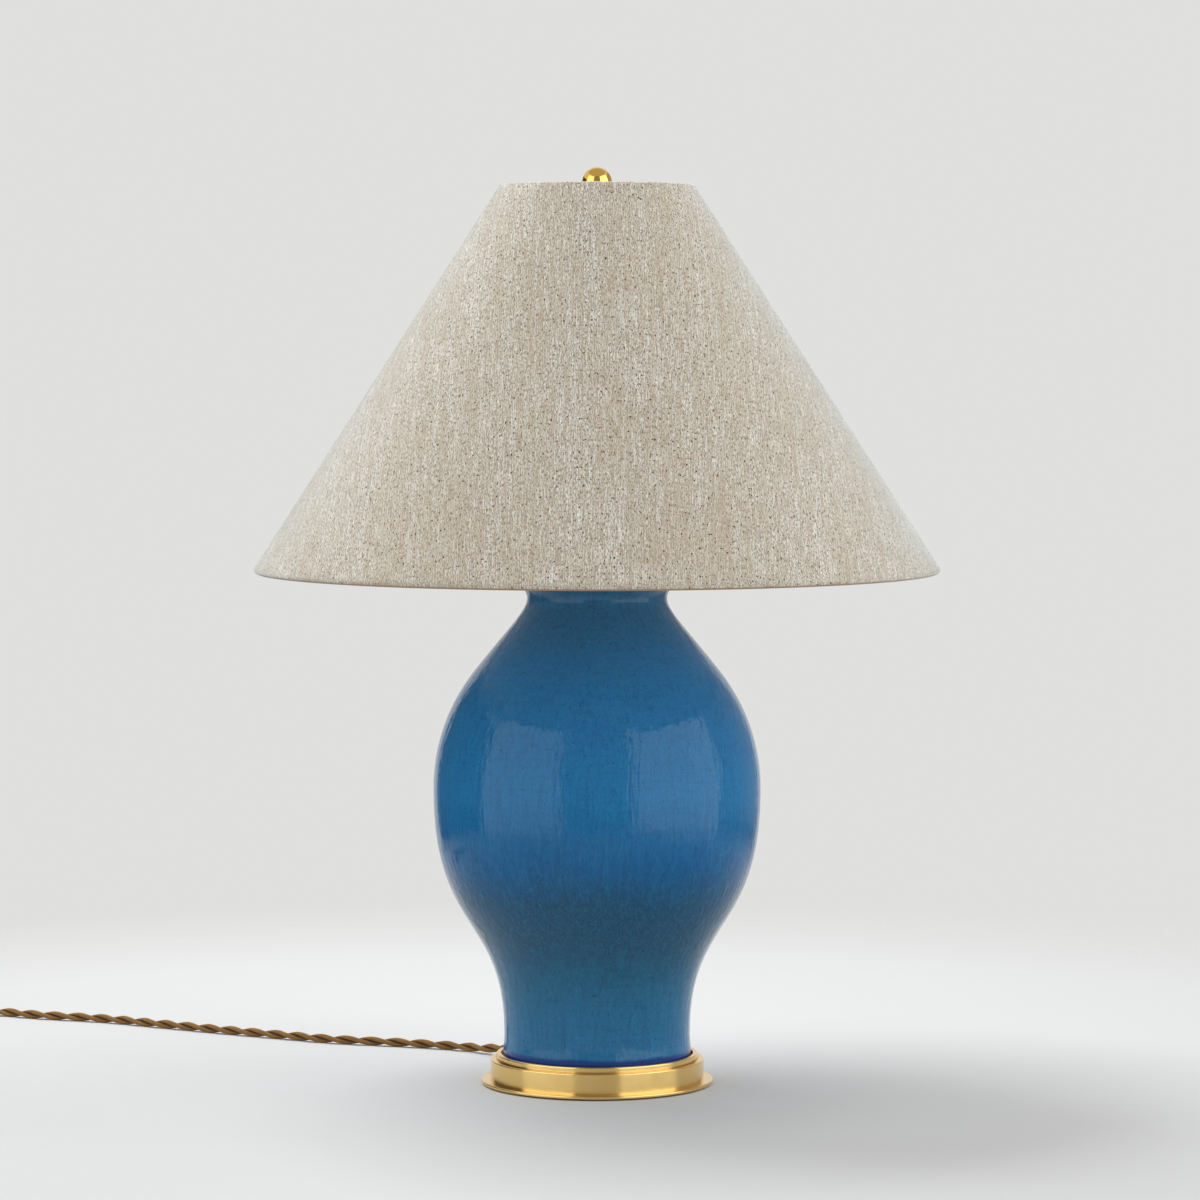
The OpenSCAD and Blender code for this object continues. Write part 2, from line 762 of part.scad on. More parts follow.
// A slotted screw in each pocket: silver for the neutral wire and brass for the live one
module terminal_screws() {
    head_r = 3;
    head_t = 2;
    slot = 0.8;
    for (side = [-1, 1]) {
        color(side < 0 ? "silver" : "gold")
            translate([side * (pocket_x + fit_gap), 0, pocket_z])
                rotate([0, side * 90, 0])
                    difference() {
                        cylinder(h = head_t, r = head_r);
                        translate([0, 0, head_t])
                            cube([slot, 3 * head_r, 2 * slot], center = true);
                    }
    }
}

// The shell that the bulb screws into, with a flange at its foot
module screw_shell() {
    out_r = screw_r + socket_wall;
    flange_in_r = screw_r - 3;
    screw_h = 22;
    color("gainsboro")
        translate([0, 0, body_top_z])
            rotate_extrude()
                polygon([[flange_in_r, 0], [out_r, 0], [out_r, screw_h], [screw_r, screw_h],
                    [screw_r, socket_wall], [flange_in_r, socket_wall]]);
}

contact_t = 1.4;

module center_contact() {
    foot_r = 4.2;
    top_r = 3;
    color("goldenrod")
        translate([0, 0, body_top_z])
            rotate_extrude()
                polygon([[0, 0], [foot_r, 0], [foot_r, contact_t / 2], [top_r, contact_t], [0, contact_t]]);
}

// The switch's knob and shaft in one piece, with flutes round the knob for the fingers
module switch_knob() {
    shaft_l = 9;
    start = socket_r + 2.4;
    flute_r = 0.8;
    flutes = 12;
    color("sienna")
        translate([0, 0, knob_axis_z])
            rotate([90, 0, 0])
                difference() {
                    union() {
                        translate([0, 0, body_r - shaft_l])
                            cylinder(h = shaft_l + start - body_r + 1, r = shaft_r);
                        translate([0, 0, start])
                            rotate_extrude()
                                polygon([[0, 0], [knob_r - 1, 0], [knob_r - 0.6, 1.5], [knob_r, 2.5],
                                    [knob_r, knob_l - 1], [knob_r - 1, knob_l], [0, knob_l]]);
                    }
                    for (k = [1:flutes]) {
                        rotate([0, 0, 360 * k / flutes])
                            translate([knob_r + flute_r / 2, 0, start + 3])
                                cylinder(h = knob_l, r = flute_r, $fn = 24);
                    }
                }
}

// Bulb

// The bulb stands on the centre contact
bulb_z = body_top_z + contact_t + face_gap;
bulb_collar_z = bulb_z + 27;
bulb_neck_r = bulb_base_r - 0.4;
cup_floor_z = bulb_z + 12;

// The screw base: contact, black glass taper and rolled cup, open at the top for the glass
module bulb_base() {
    profile = [[0, bulb_z], [3.4, bulb_z], [4.6, bulb_z + 1], [5, bulb_z + 1.8],
        [bulb_base_r - 2.5, bulb_z + 4.2], [bulb_base_r - 0.6, bulb_z + 5],
        [bulb_base_r, bulb_z + 6.4], [bulb_base_r, bulb_collar_z],
        [bulb_neck_r + fit_gap, bulb_collar_z], [bulb_neck_r + fit_gap, cup_floor_z], [0, cup_floor_z]];
    color("silver")
        rotate_extrude()
            polygon(profile);
}

// The side of the pear from its foot to its crown, drawn in by inset
function pear(inset) =
    let (wide_z = bulb_z + bulb_h - bulb_r, neck = bulb_neck_r - inset, wide = bulb_r - inset)
    concat(
        [[neck, cup_floor_z + fit_gap]],
        curve([neck, bulb_collar_z], [neck + 3, bulb_collar_z + 12], [wide, wide_z - 20], [wide, wide_z], 12),
        tail(arc(0, wide_z, wide, 0, 90, 12)));

// The glass envelope: a hollow pear that widens from the base to its crown
module bulb_glass() {
    color("white")
        rotate_extrude()
            polygon(concat(pear(0), back(pear(glass_t))));
}

// Wires inside the lamp

strand_r = 1.5;
bend_r = 3;
wire_low_z = pipe_z - bend_r;
// Where the inner wires meet the cord, inside the bushing
meet_x = relief_end - 12;

// Two insulated conductors from the cord's end, under the ballast and up the pipe to the socket
module inner_wires() {
    start = [meet_x, 0, cord_z];
    inner = [band_in_r - 8, 0, cord_z];
    low = [ballast_recess_r - 4, 0, wire_low_z];
    color("peru")
        rotate([0, 0, cord_dir])
            for (side = [-1, 1]) {
                translate([0, side * (strand_r + face_gap), 0]) {
                    bar(inner, start, strand_r);
                    joint_ball(inner, strand_r);
                    bar(low, inner, strand_r);
                    joint_ball(low, strand_r);
                    bar([bend_r, 0, wire_low_z], low, strand_r);
                    joint_ball([bend_r, 0, wire_low_z], strand_r);
                    joint_ball([0, 0, pipe_z], strand_r);
                    translate([bend_r, 0, pipe_z])
                        rotate([90, 0, 0])
                            rotate([0, 0, 180])
                                rotate_extrude(angle = 90)
                                    translate([bend_r, 0])
                                        circle(r = strand_r, $fn = 24);
                    translate([0, 0, pipe_z])
                        cylinder(h = body_foot_z - face_gap - pipe_z, r = strand_r);
                }
            }
}

// Shade

// The wall's slope from upright, its length along the slope and the radius of its rolled rims
slope = atan((shade_bottom_r - shade_top_r) / shade_h);
slant = norm([shade_bottom_r - shade_top_r, shade_h]);
roll_r = cover_t + fit_gap + frame_wire_r;

// A point of the shade's wall: s along the slope from the upper rim, d in from the outer face
function on_slope(s, d) =
    [shade_top_r + s * sin(slope) - d * cos(slope), shade_z - s * cos(slope) - d * sin(slope)];

// Depths of the lining's two faces, and of the hem that is turned in over it
lining_out = cover_t + fit_gap;
lining_in = lining_out + lining_t;
hem_out = lining_in + fit_gap;
hem_in = hem_out + cover_t;

// Points of an arc of radius r round a rim's ring, from angle a to b
function roll(s, way, r, a, b) =
    [for (p = arc(0, 0, r, a, b, 8)) on_slope(s + way * (p.x - roll_r), roll_r - p.y)];

// The linen turned round a ring and back inside, for either rim
function hem(s, way) = concat(
    roll(s, way, roll_r, 90, -90),
    [on_slope(s - way * hem_w, hem_in), on_slope(s - way * hem_w, hem_out)],
    roll(s, way, roll_r - cover_t, -90, 90));

// The linen cover, slit at its upper hem where the arms come out
module shade_cover() {
    color("antiquewhite")
        difference() {
            rotate_extrude($fn = 128)
                polygon(concat(hem(slant, 1), back(hem(0, -1))));
            arms(arm_wire_r + loose_gap);
        }
}

module shade_lining() {
    margin = 2 * roll_r + 0.5;
    color("whitesmoke")
        rotate_extrude($fn = 128)
            polygon([on_slope(margin, lining_out), on_slope(slant - margin, lining_out),
                on_slope(slant - margin, lining_in), on_slope(margin, lining_in)]);
}

// A ring of frame wire inside the roll that is s along the slope
module wire_ring(s) {
    rotate_extrude($fn = 128)
        translate(on_slope(s, roll_r))
            circle(r = frame_wire_r, $fn = 32);
}

// The arms, of radius r: each runs level from the hub to a knee and rises to the upper ring
module arms(r) {
    ring = on_slope(roll_r, roll_r);
    knee = [ring.x - hub_drop - 6, hub_z + hub_t / 2];
    for (k = [0:arm_count - 1]) {
        rotate([0, 0, 90 + 360 * k / arm_count]) {
            bar([hub_r - 2, 0, knee.y], [knee.x, 0, knee.y], r);
            joint_ball([knee.x, 0, knee.y], r);
            bar([knee.x, 0, knee.y], [ring.x, 0, ring.y], r);
        }
    }
}

// The upper ring with its arms and the hub washer that sits on the harp
module shade_top_frame() {
    color("goldenrod") {
        wire_ring(roll_r);
        arms(arm_wire_r);
        translate([0, 0, hub_z])
            difference() {
                cylinder(h = hub_t, r = hub_r);
                translate([0, 0, -1])
                    cylinder(h = hub_t + 2, r = stud_r + run_gap);
            }
    }
}

module shade_bottom_ring() {
    color("goldenrod")
        wire_ring(slant - roll_r);
}

// A ball on a short turned foot, bored for the stud
module finial() {
    foot_r = 6.6;
    foot_t = 1.6;
    waist_r = 4.8;
    ease = 0.4;
    color("gold")
        difference() {
            union() {
                translate([0, 0, ball_z])
                    sphere(r = ball_r, $fn = 96);
                translate([0, 0, hub_top_z + face_gap])
                    rotate_extrude()
                        polygon([[0, 0], [foot_r - ease, 0], [foot_r, ease], [foot_r, foot_t - ease],
                            [foot_r - ease, foot_t], [waist_r, foot_t + ease], [waist_r, foot_t + 3],
                            [0, foot_t + 3]]);
            }
            translate([0, 0, hub_top_z - 1])
                cylinder(h = stud_z + 1 - hub_top_z + 1, r = stud_r + run_gap);
        }
}

// Cord

// Height of the cord's centre where it lies on the table, and its direction out of the base
cord_lie = cord_r + 0.05;
out_dir = [cos(cord_dir), sin(cord_dir), 0];
// Distances from the lamp's axis at which the cord is still level, inside and past the bushing
level_x = [meet_x, relief_end - 6, relief_end, relief_end + 7];
// Where the free cord lies from there: it comes down to the table and wanders off to the left
lying = [[-63, 108, 9.6], [-70, 117, 7.8], [-78, 125.5, 6], [-87, 134, 4.6], [-99, 144, 3.8],
    [-118, 155, cord_lie], [-140, 164, cord_lie], [-160, 171, cord_lie], [-180, 177, cord_lie],
    [-200, 183, cord_lie], [-220, 191.5, cord_lie], [-240, 203, cord_lie], [-260, 214, cord_lie],
    [-280, 225, cord_lie], [-300, 236, cord_lie], [-320, 248, cord_lie], [-340, 260, cord_lie],
    [-360, 272, cord_lie], [-380, 284.5, cord_lie], [-400, 295, cord_lie], [-420, 303, cord_lie],
    [-440, 309.5, cord_lie], [-460, 317.5, cord_lie], [-480, 328, cord_lie], [-500, 338, cord_lie],
    [-522, 344.5, cord_lie], [-548, 347, cord_lie], [-574, 347, cord_lie]];
run_end = last(lying);

module cord_run() {
    level = [for (x = level_x) x * out_dir + [0, 0, cord_z]];
    color("peru")
        tube(concat(level, lying), cord_r, 8, out_dir, [-1, 0, 0]);
}

// The coil: a spiral in, half a turn that climbs and reverses, and a spiral out on top
coil_rings = 24;
coil_in_r = 34;
layer_h = 2 * cord_r + 0.7;
half_turns = coil_turns / 2;
straight = 2 * cord_r;

// How far a turn is from the coil's narrowest, in turns, smooth where the spiral reverses
function spread(t) = abs(t) < 0.25 ? 2 * t * t + 0.125 : abs(t);

function climb(t) = let (u = min(1, max(0, (t + 0.25) / 0.5))) u * u * (3 - 2 * u);

coil_out_r = coil_in_r + coil_pitch * spread(half_turns);
coil_centre = [run_end.x - straight, run_end.y - coil_out_r, cord_lie];

function coil_point(t) =
    let (r = coil_in_r + coil_pitch * spread(t), a = 90 + 360 * (t + half_turns))
    coil_centre + [r * cos(a), r * sin(a), layer_h * climb(t)];

coil_steps = coil_turns * coil_rings;
coil_loops = [for (i = [0:coil_steps]) coil_point(i / coil_rings - half_turns)];
coil_end = last(coil_loops) - [0, straight, 0];
coil_path = concat([run_end], coil_loops, [coil_end]);

// Distance from point p to the piece of path between a and b
function off_line(p, a, b) = let (d = b - a, u = min(1, max(0, (p - a) * d / (d * d)))) norm(p - a - u * d);

coil_gap = min([for (i = [0:coil_steps]) for (j = [i + 8:1:coil_steps - 1])
    off_line(coil_loops[i], coil_loops[j], coil_loops[j + 1])]) - 2 * cord_r;

module cord_coil() {
    echo(least_gap_between_turns = coil_gap);
    color("peru")
        tube(coil_path, cord_r, 6, [-1, 0, 0], [0, -1, 0]);
}

// The last of the cord comes down from the coil to the table and rises to the plug: distances
// past the coil's end, and heights above the table for the cord's underside
tail_step = [[10, 6.9], [20, 4.8], [30, 2.5], [40, 0.8], [50, 0.2], [58, 0.6], [66, 2.3], [74, 4.5],
    [82, 6.2]];
tail_l = 90;
plug_start = [coil_end.x, coil_end.y - tail_l, plug_flat + fit_gap];

module cord_tail() {
    down = [for (p = tail_step) [coil_end.x, coil_end.y - p.x, p.y + cord_lie]];
    path = concat([coil_end], down, [plug_start]);
    color("peru")
        tube(path, cord_r, 8, [0, -1, 0], [0, -1, 0]);
}

// Plug

// Places a child that points up along +Z at the cord's end, pointing the way the plug does
module at_plug() {
    translate(plug_start)
        rotate([90, 0, 0])
            children();
}

blade_t = 1.5;
blade_in = 6;
neutral_w = 7.9;
live_w = 6.3;

// The two blades, one wider than the other, grown by gap all round
module blades(gap, length) {
    for (side = [-1, 1]) {
        width = side < 0 ? neutral_w : live_w;
        translate([side * blade_gap / 2 - blade_t / 2 - gap, -width / 2 - gap, plug_l - blade_in - gap])
            cube([blade_t + 2 * gap, width + 2 * gap, length + 2 * gap]);
    }
}

// A turned plug body with finger grooves at its tail and two flats, so that it lies still
module plug_body() {
    nose_r = cord_r + 1.4;
    groove_step = 3;
    widen = 0.5;
    ease = 0.6;
    grooves = [for (k = [1:3]) let (r = nose_r + widen * k, z = groove_step * k)
        each [[r, z], [r - 1, z + ease], [r - 1, z + 3 * ease], [r + widen, z + 4 * ease]]];
    profile = concat(
        [[0, 0], [nose_r - ease, 0], [nose_r, ease]], grooves,
        curve([nose_r + 2, 12.6], [nose_r + 3, 18], [plug_r, 17], [plug_r, plug_l - 11], 8),
        [[plug_r, plug_l - 2], [plug_r - ease, plug_l - ease], [plug_r - 1.6, plug_l], [0, plug_l]]);
    color("saddlebrown")
        at_plug()
            difference() {
                intersection() {
                    rotate_extrude()
                        polygon(profile);
                    translate([-plug_r, -plug_flat, -1])
                        cube([2 * plug_r, 2 * plug_flat, plug_l + 2]);
                }
                blades(fit_gap, blade_in + 1);
            }
}

// Both blades, with the round hole near each tip
module plug_blades() {
    tip_hole_r = 1.6;
    color("silver")
        at_plug()
            difference() {
                blades(0, blade_in + blade_l);
                translate([-plug_r, 0, plug_l + blade_l - 4])
                    rotate([0, 90, 0])
                        cylinder(h = 2 * plug_r, r = tip_hole_r);
            }
}

base_shell();
base_felt();
base_ballast();
base_washer();
base_nut();
cord_bushing();
foot_gasket();
vase_body();
center_pipe();
vase_cap();
stem_neck();
harp_saddle();
saddle_nut();
harp_wire();
harp_sleeve(-1);  // harp_sleeve_left
harp_sleeve(1);  // harp_sleeve_right
harp_seat();
socket_cap();
socket_shell();
socket_liner();
socket_body();
screw_shell();
center_contact();
terminal_screws();
switch_knob();
bulb_base();
bulb_glass();
inner_wires();
shade_cover();
shade_lining();
shade_top_frame();
shade_bottom_ring();
finial();
cord_run();
cord_coil();
cord_tail();
plug_body();
plug_blades();
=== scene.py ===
import math

import bpy
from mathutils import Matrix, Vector


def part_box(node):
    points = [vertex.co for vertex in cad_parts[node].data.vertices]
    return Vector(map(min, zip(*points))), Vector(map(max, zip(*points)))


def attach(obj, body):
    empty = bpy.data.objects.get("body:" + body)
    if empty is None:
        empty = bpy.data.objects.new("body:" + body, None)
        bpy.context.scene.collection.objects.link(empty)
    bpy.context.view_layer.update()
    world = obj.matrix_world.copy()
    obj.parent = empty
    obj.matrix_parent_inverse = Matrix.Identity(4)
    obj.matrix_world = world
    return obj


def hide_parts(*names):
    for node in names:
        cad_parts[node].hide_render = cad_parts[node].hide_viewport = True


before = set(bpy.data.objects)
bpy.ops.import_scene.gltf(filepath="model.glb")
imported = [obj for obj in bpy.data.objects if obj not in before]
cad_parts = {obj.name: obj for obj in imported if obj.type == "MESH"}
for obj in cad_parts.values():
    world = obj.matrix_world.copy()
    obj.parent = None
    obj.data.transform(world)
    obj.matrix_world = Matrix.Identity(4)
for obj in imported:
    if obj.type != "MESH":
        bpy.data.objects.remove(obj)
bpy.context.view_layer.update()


# View
#
# The photograph is taken with a long lens from about three and a half metres away. The camera
# stands a little above the shade's lower rim and looks down by just over three degrees.

camera_place = (0.0022, -3.4224, 0.5622)
camera_tilt = 3.366
camera_lens = 138.45

bpy.ops.object.select_all(action="DESELECT")
bpy.ops.object.camera_add(location=camera_place, rotation=(math.radians(90 - camera_tilt), 0, 0))
camera = bpy.context.object
camera.data.sensor_width = 36
camera.data.lens = camera_lens
bpy.context.scene.camera = camera


# Cord
#
# A two-core mains flex of the old kind: each wire has its own sleeve of braided, gold-brown
# cotton, and the two are twisted right-handed. It is 1.8 m long, leaves the base at the back,
# wanders off to the left on the table, and its spare length lies coiled beyond the picture.

cord_d = 0.007
strand_r = 0.00177
strand_off = cord_d / 2 - strand_r
twist_pitch = 0.0425
lie = 0.00355
cord_step = 0.0018
strand_sides = 14
cord_out = Vector((math.cos(math.radians(120)), math.sin(math.radians(120)), 0))
cord_z = 0.0105
# Distances from the lamp's axis while the cord is still inside its bushing and just past it
relief_end = 0.10265
level_run = (0.09065, 0.09665, relief_end, 0.10965)
lying_run = (
    (-0.063, 0.108, 0.0096), (-0.070, 0.117, 0.0078), (-0.078, 0.1255, 0.006), (-0.087, 0.134, 0.0046),
    (-0.099, 0.144, 0.0038), (-0.118, 0.155, lie), (-0.140, 0.164, lie), (-0.160, 0.171, lie),
    (-0.180, 0.177, lie), (-0.200, 0.183, lie), (-0.220, 0.1915, lie), (-0.240, 0.203, lie),
    (-0.260, 0.214, lie), (-0.280, 0.225, lie), (-0.300, 0.236, lie), (-0.320, 0.248, lie),
    (-0.340, 0.260, lie), (-0.360, 0.272, lie), (-0.380, 0.2845, lie), (-0.400, 0.295, lie),
    (-0.420, 0.303, lie), (-0.440, 0.3095, lie), (-0.460, 0.3175, lie), (-0.480, 0.328, lie),
    (-0.500, 0.338, lie), (-0.522, 0.3445, lie), (-0.548, 0.347, lie), (-0.574, 0.347, lie))
coil_in_r = 0.034
coil_pitch = 0.0077
coil_layer = 0.0077
coil_half = 2.125
coil_rings = 24
coil_straight = 0.007
# Past the coil's end: distance along the table, and height above it for the cord's underside
tail_drop = ((0.010, 0.0069), (0.020, 0.0048), (0.030, 0.0025), (0.040, 0.0008), (0.050, 0.0002),
             (0.058, 0.0006), (0.066, 0.0023), (0.074, 0.0045), (0.082, 0.0062))
tail_length = 0.090
plug_rest = 0.0101
# The braid: yarns each way round a strand, and its pitch along the strand
braid_yarns = 7
braid_pitch = 0.0016


def coil_at(turn):
    """A point of the coil, which winds inwards on the table and outwards again on top."""
    spread = 2 * turn * turn + 0.125 if abs(turn) < 0.25 else abs(turn)
    climb = min(1, max(0, (turn + 0.25) / 0.5))
    r = coil_in_r + coil_pitch * spread
    a = math.tau * (0.25 + turn + coil_half)
    return coil_centre + Vector((r * math.cos(a), r * math.sin(a), coil_layer * climb ** 2 * (3 - 2 * climb)))


def smooth_line(knots, step):
    """Points about a step apart on one smooth curve through the knots."""
    gaps = [(b - a).length for a, b in zip(knots, knots[1:])]
    leans = [(knots[1] - knots[0]) / gaps[0]]
    for i in range(1, len(knots) - 1):
        before, after = (knots[i] - knots[i - 1]) / gaps[i - 1], (knots[i + 1] - knots[i]) / gaps[i]
        leans.append((before * gaps[i] + after * gaps[i - 1]) / (gaps[i - 1] + gaps[i]))
    leans.append((knots[-1] - knots[-2]) / gaps[-1])
    line = []
    for i, gap in enumerate(gaps):
        count = max(1, round(gap / step))
        for k in range(count):
            t = k / count
            line.append(knots[i] * (2 * t ** 3 - 3 * t ** 2 + 1) + knots[i + 1] * (3 * t ** 2 - 2 * t ** 3)
                        + leans[i] * gap * (t ** 3 - 2 * t ** 2 + t) + leans[i + 1] * gap * (t ** 3 - t ** 2))
    return line + [knots[-1]]


def add_tube(line, pull_to, radius, sides, verts, faces, uvs):
    """A closed tube along a line; its seam stays turned towards the points of pull_to."""
    start, along = len(verts), 0
    for i, point in enumerate(line):
        ahead = (line[min(i + 1, len(line) - 1)] - line[max(i - 1, 0)]).normalized()
        side = pull_to[i] - point
        side = (side - ahead * side.dot(ahead)).normalized()
        up = ahead.cross(side)
        for k in range(sides):
            a = math.tau * k / sides
            verts.append(point + (side * math.cos(a) + up * math.sin(a)) * radius)
        if i:
            step = (point - line[i - 1]).length
            for k in range(sides):
                low, high, right = start + (i - 1) * sides, start + i * sides, (k + 1) % sides
                faces.append((low + k, low + right, high + right, high + k))
                uvs += [(k / sides, along), ((k + 1) / sides, along),
                        ((k + 1) / sides, along + step), (k / sides, along + step)]
            along += step
    faces.append(tuple(start + k for k in reversed(range(sides))))
    faces.append(tuple(start + (len(line) - 1) * sides + k for k in range(sides)))
    uvs += [(k / sides, 0) for k in reversed(range(sides))] + [(k / sides, along) for k in range(sides)]


def mesh_piece(name, verts, faces, uvs):
    """A new object from points, faces and one UV pair for each face's corner."""
    mesh = bpy.data.meshes.new(name)
    mesh.from_pydata([tuple(v) for v in verts], [], faces)
    layer = mesh.uv_layers.new(name="weave")
    for loop, uv in zip(layer.data, uvs):
        loop.uv = uv
    mesh.shade_smooth()
    piece = bpy.data.objects.new(name, mesh)
    bpy.context.collection.objects.link(piece)
    return piece


def finish(name, settings):
    """A new material; settings are values for its shader's own sockets."""
    made = bpy.data.materials.new(name)
    made.use_nodes = True
    shader = made.node_tree.nodes["Principled BSDF"]
    for socket, value in settings.items():
        shader.inputs[socket].default_value = value
    return made


def add(made, kind, inputs, **settings):
    """Adds a node to a material; an input that is another node's output is linked."""
    node = made.node_tree.nodes.new("ShaderNode" + kind)
    for name, value in settings.items():
        setattr(node, name, value)
    for name, value in inputs.items():
        if isinstance(value, bpy.types.NodeSocket):
            made.node_tree.links.new(value, node.inputs[name])
        else:
            node.inputs[name].default_value = value
    return node


def place(made, scale, kind="Object"):
    """Coordinates on the piece, stretched by scale."""
    where = add(made, "TexCoord", {}).outputs[kind]
    return add(made, "Mapping", {"Vector": where, "Scale": scale}).outputs["Vector"]


def grain(made, where, size, detail=2.0, rough=0.5):
    """Cloudy noise from 0 to 1."""
    inputs = {"Vector": where, "Scale": size, "Detail": detail, "Roughness": rough}
    return add(made, "TexNoise", inputs).outputs["Fac"]


def calc(made, how, a, b=0.0):
    """One sum; a and b are numbers or nodes' outputs."""
    return add(made, "Math", {0: a, 1: b}, operation=how).outputs[0]


def spans(made, value, low, high, to_low=0.0, to_high=1.0):
    """Value's range from low to high, stretched to the new range and held inside it."""
    inputs = {"Value": value, "From Min": low, "From Max": high, "To Min": to_low, "To Max": to_high}
    return add(made, "MapRange", inputs).outputs["Result"]


def mixed(made, factor, a, b):
    """Colour a where the factor is 0 and b where it is 1."""
    node = add(made, "Mix", {0: factor, 6: a, 7: b}, data_type="RGBA")
    return node.outputs[2]


def layered(made, colour, layers):
    """Lays tints over a colour: mask, where in it the tint starts and is whole, its share, its colour."""
    for mask, start, whole, share, tint in layers:
        colour = mixed(made, spans(made, mask, start, whole, 0.0, share), colour, tint)
    return colour


def feed(made, socket, value):
    """Links an output to a socket of the material's shader."""
    made.node_tree.links.new(value, made.node_tree.nodes["Principled BSDF"].inputs[socket])


def relief(made, height, depth, strength=1.0):
    """Turns a height from 0 to 1 into a surface relief of that depth in metres."""
    return add(made, "Bump", {"Height": height, "Distance": depth, "Strength": strength}).outputs["Normal"]


def dress(made, *names):
    """Gives CAD nodes their finish."""
    for name in names:
        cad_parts[name].material_slots[0].material = made


def settle(piece, made, body):
    """Gives a new piece its finish, in its only material slot, and its body."""
    piece.data.materials.clear()
    piece.data.materials.append(made)
    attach(piece, body)


level = [cord_out * r + Vector((0, 0, cord_z)) for r in level_run]
lying = [Vector(p) for p in lying_run]
run_end = lying[-1]
coil_out_r = coil_in_r + coil_pitch * coil_half
coil_centre = Vector((run_end.x - coil_straight, run_end.y - coil_out_r, lie))
coil_knots = [coil_at(i / coil_rings - coil_half) for i in range(round(2 * coil_rings * coil_half) + 1)]
coil_end = coil_knots[-1] - Vector((0, coil_straight, 0))
tail = [coil_end + Vector((0, -d, h + lie - coil_end.z)) for d, h in tail_drop]
plug_start = Vector((coil_end.x, coil_end.y - tail_length, plug_rest))
cord_line = smooth_line(level + lying + coil_knots + [coil_end] + tail + [plug_start], cord_step)

strands = ([], [])
side, along = Vector((0, 0, 1)), 0
for i, point in enumerate(cord_line):
    ahead = (cord_line[min(i + 1, len(cord_line) - 1)] - cord_line[max(i - 1, 0)]).normalized()
    side = (side - ahead * side.dot(ahead)).normalized()
    if i:
        along += (point - cord_line[i - 1]).length
    turn = math.tau * along / twist_pitch
    off = side * math.cos(turn) + ahead.cross(side) * math.sin(turn)
    strands[0].append(point + off * strand_off)
    strands[1].append(point - off * strand_off)
verts, faces, uvs = [], [], []
for strand in strands:
    add_tube(strand, cord_line, strand_r, strand_sides, verts, faces, uvs)
cord = mesh_piece("twisted_cord", verts, faces, uvs)

braid = finish("braided_cotton", {"Roughness": 0.7, "Sheen Weight": 0.08, "Specular IOR Level": 0.3})
uv = add(braid, "SeparateXYZ", {"Vector": add(braid, "TexCoord", {}).outputs["UV"]})
round_it = calc(braid, "MULTIPLY", uv.outputs["X"], math.tau * braid_yarns)
along_it = calc(braid, "MULTIPLY", uv.outputs["Y"], math.tau / braid_pitch)
left_yarn = calc(braid, "SINE", calc(braid, "ADD", round_it, along_it))
right_yarn = calc(braid, "SINE", calc(braid, "SUBTRACT", round_it, along_it))
plait = spans(braid, calc(braid, "MULTIPLY", left_yarn, right_yarn), -0.7, 0.9)
worn = grain(braid, place(braid, (1, 1, 1)), 160, 3)
thread = mixed(braid, spans(braid, worn, 0.3, 0.7), (0.330, 0.160, 0.036, 1), (0.500, 0.262, 0.070, 1))
thread = mixed(braid, plait, (0.160, 0.070, 0.016, 1), thread)
# Painted shade: each sleeve is painted darker where it lies against the other, in the groove
# between the strands
across = calc(braid, "ABSOLUTE", calc(braid, "SUBTRACT", uv.outputs["X"], 0.5))
feed(braid, "Base Color", mixed(braid, spans(braid, across, 0.26, 0.40), thread, (0.060, 0.026, 0.007, 1)))
feed(braid, "Normal", relief(braid, plait, 0.00025, 0.8))
settle(cord, braid, "lamp")
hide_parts("cord_run", "cord_coil", "cord_tail")


# Tie
#
# A narrow strap of brown hook-and-loop tape goes once round the coil's turns and holds the
# spare cord. It is a flat band with round corners, drawn close to the turns.

tie_in = 0.0322
tie_out = 0.0513
tie_low = 0.0001
tie_top = 0.0157
tie_w = 0.010
tie_t = 0.0007
tie_corner = 0.0045


def choose(piece, where):
    """In edit mode, selects the piece's faces whose centre and normal pass a test."""
    bpy.ops.mesh.select_mode(type="FACE")
    bpy.ops.mesh.select_all(action="DESELECT")
    bpy.ops.object.mode_set(mode="OBJECT")
    for face in piece.data.polygons:
        face.select = bool(where(face.center, face.normal))
    bpy.ops.object.mode_set(mode="EDIT")


def sealed(piece, inside_wall=None):
    """Merges a mesh's doubles, turns its faces outwards and can give it a wall."""
    bpy.ops.object.mode_set(mode="EDIT")
    bpy.ops.mesh.select_all(action="SELECT")
    bpy.ops.mesh.remove_doubles(threshold=0.000001)
    bpy.ops.mesh.normals_make_consistent(inside=False)
    bpy.ops.object.mode_set(mode="OBJECT")
    if inside_wall:
        wall = piece.modifiers.new("wall", "SOLIDIFY")
        wall.thickness, wall.offset = inside_wall, -1
        bpy.ops.object.modifier_apply(modifier="wall")


bpy.ops.object.select_all(action="DESELECT")
bpy.ops.mesh.primitive_cube_add(size=1)
tie = bpy.context.object
tie.name = "cord_tie"
tie.scale = (tie_out - tie_in, tie_w, tie_top - tie_low)
tie.location = coil_centre + Vector(((tie_in + tie_out) / 2, 0, (tie_low + tie_top) / 2 - lie))
bpy.ops.object.transform_apply(location=True, rotation=True, scale=True)
bpy.ops.object.mode_set(mode="EDIT")
choose(tie, lambda centre, normal: abs(normal.y) > 0.5)
bpy.ops.mesh.delete(type="ONLY_FACE")
bpy.ops.object.mode_set(mode="OBJECT")
sealed(tie)
round_off = tie.modifiers.new("corners", "BEVEL")
round_off.width, round_off.segments, round_off.limit_method = tie_corner, 6, "ANGLE"
bpy.ops.object.modifier_apply(modifier="corners")
sealed(tie, tie_t)
bpy.ops.object.shade_smooth_by_angle(angle=math.radians(40))

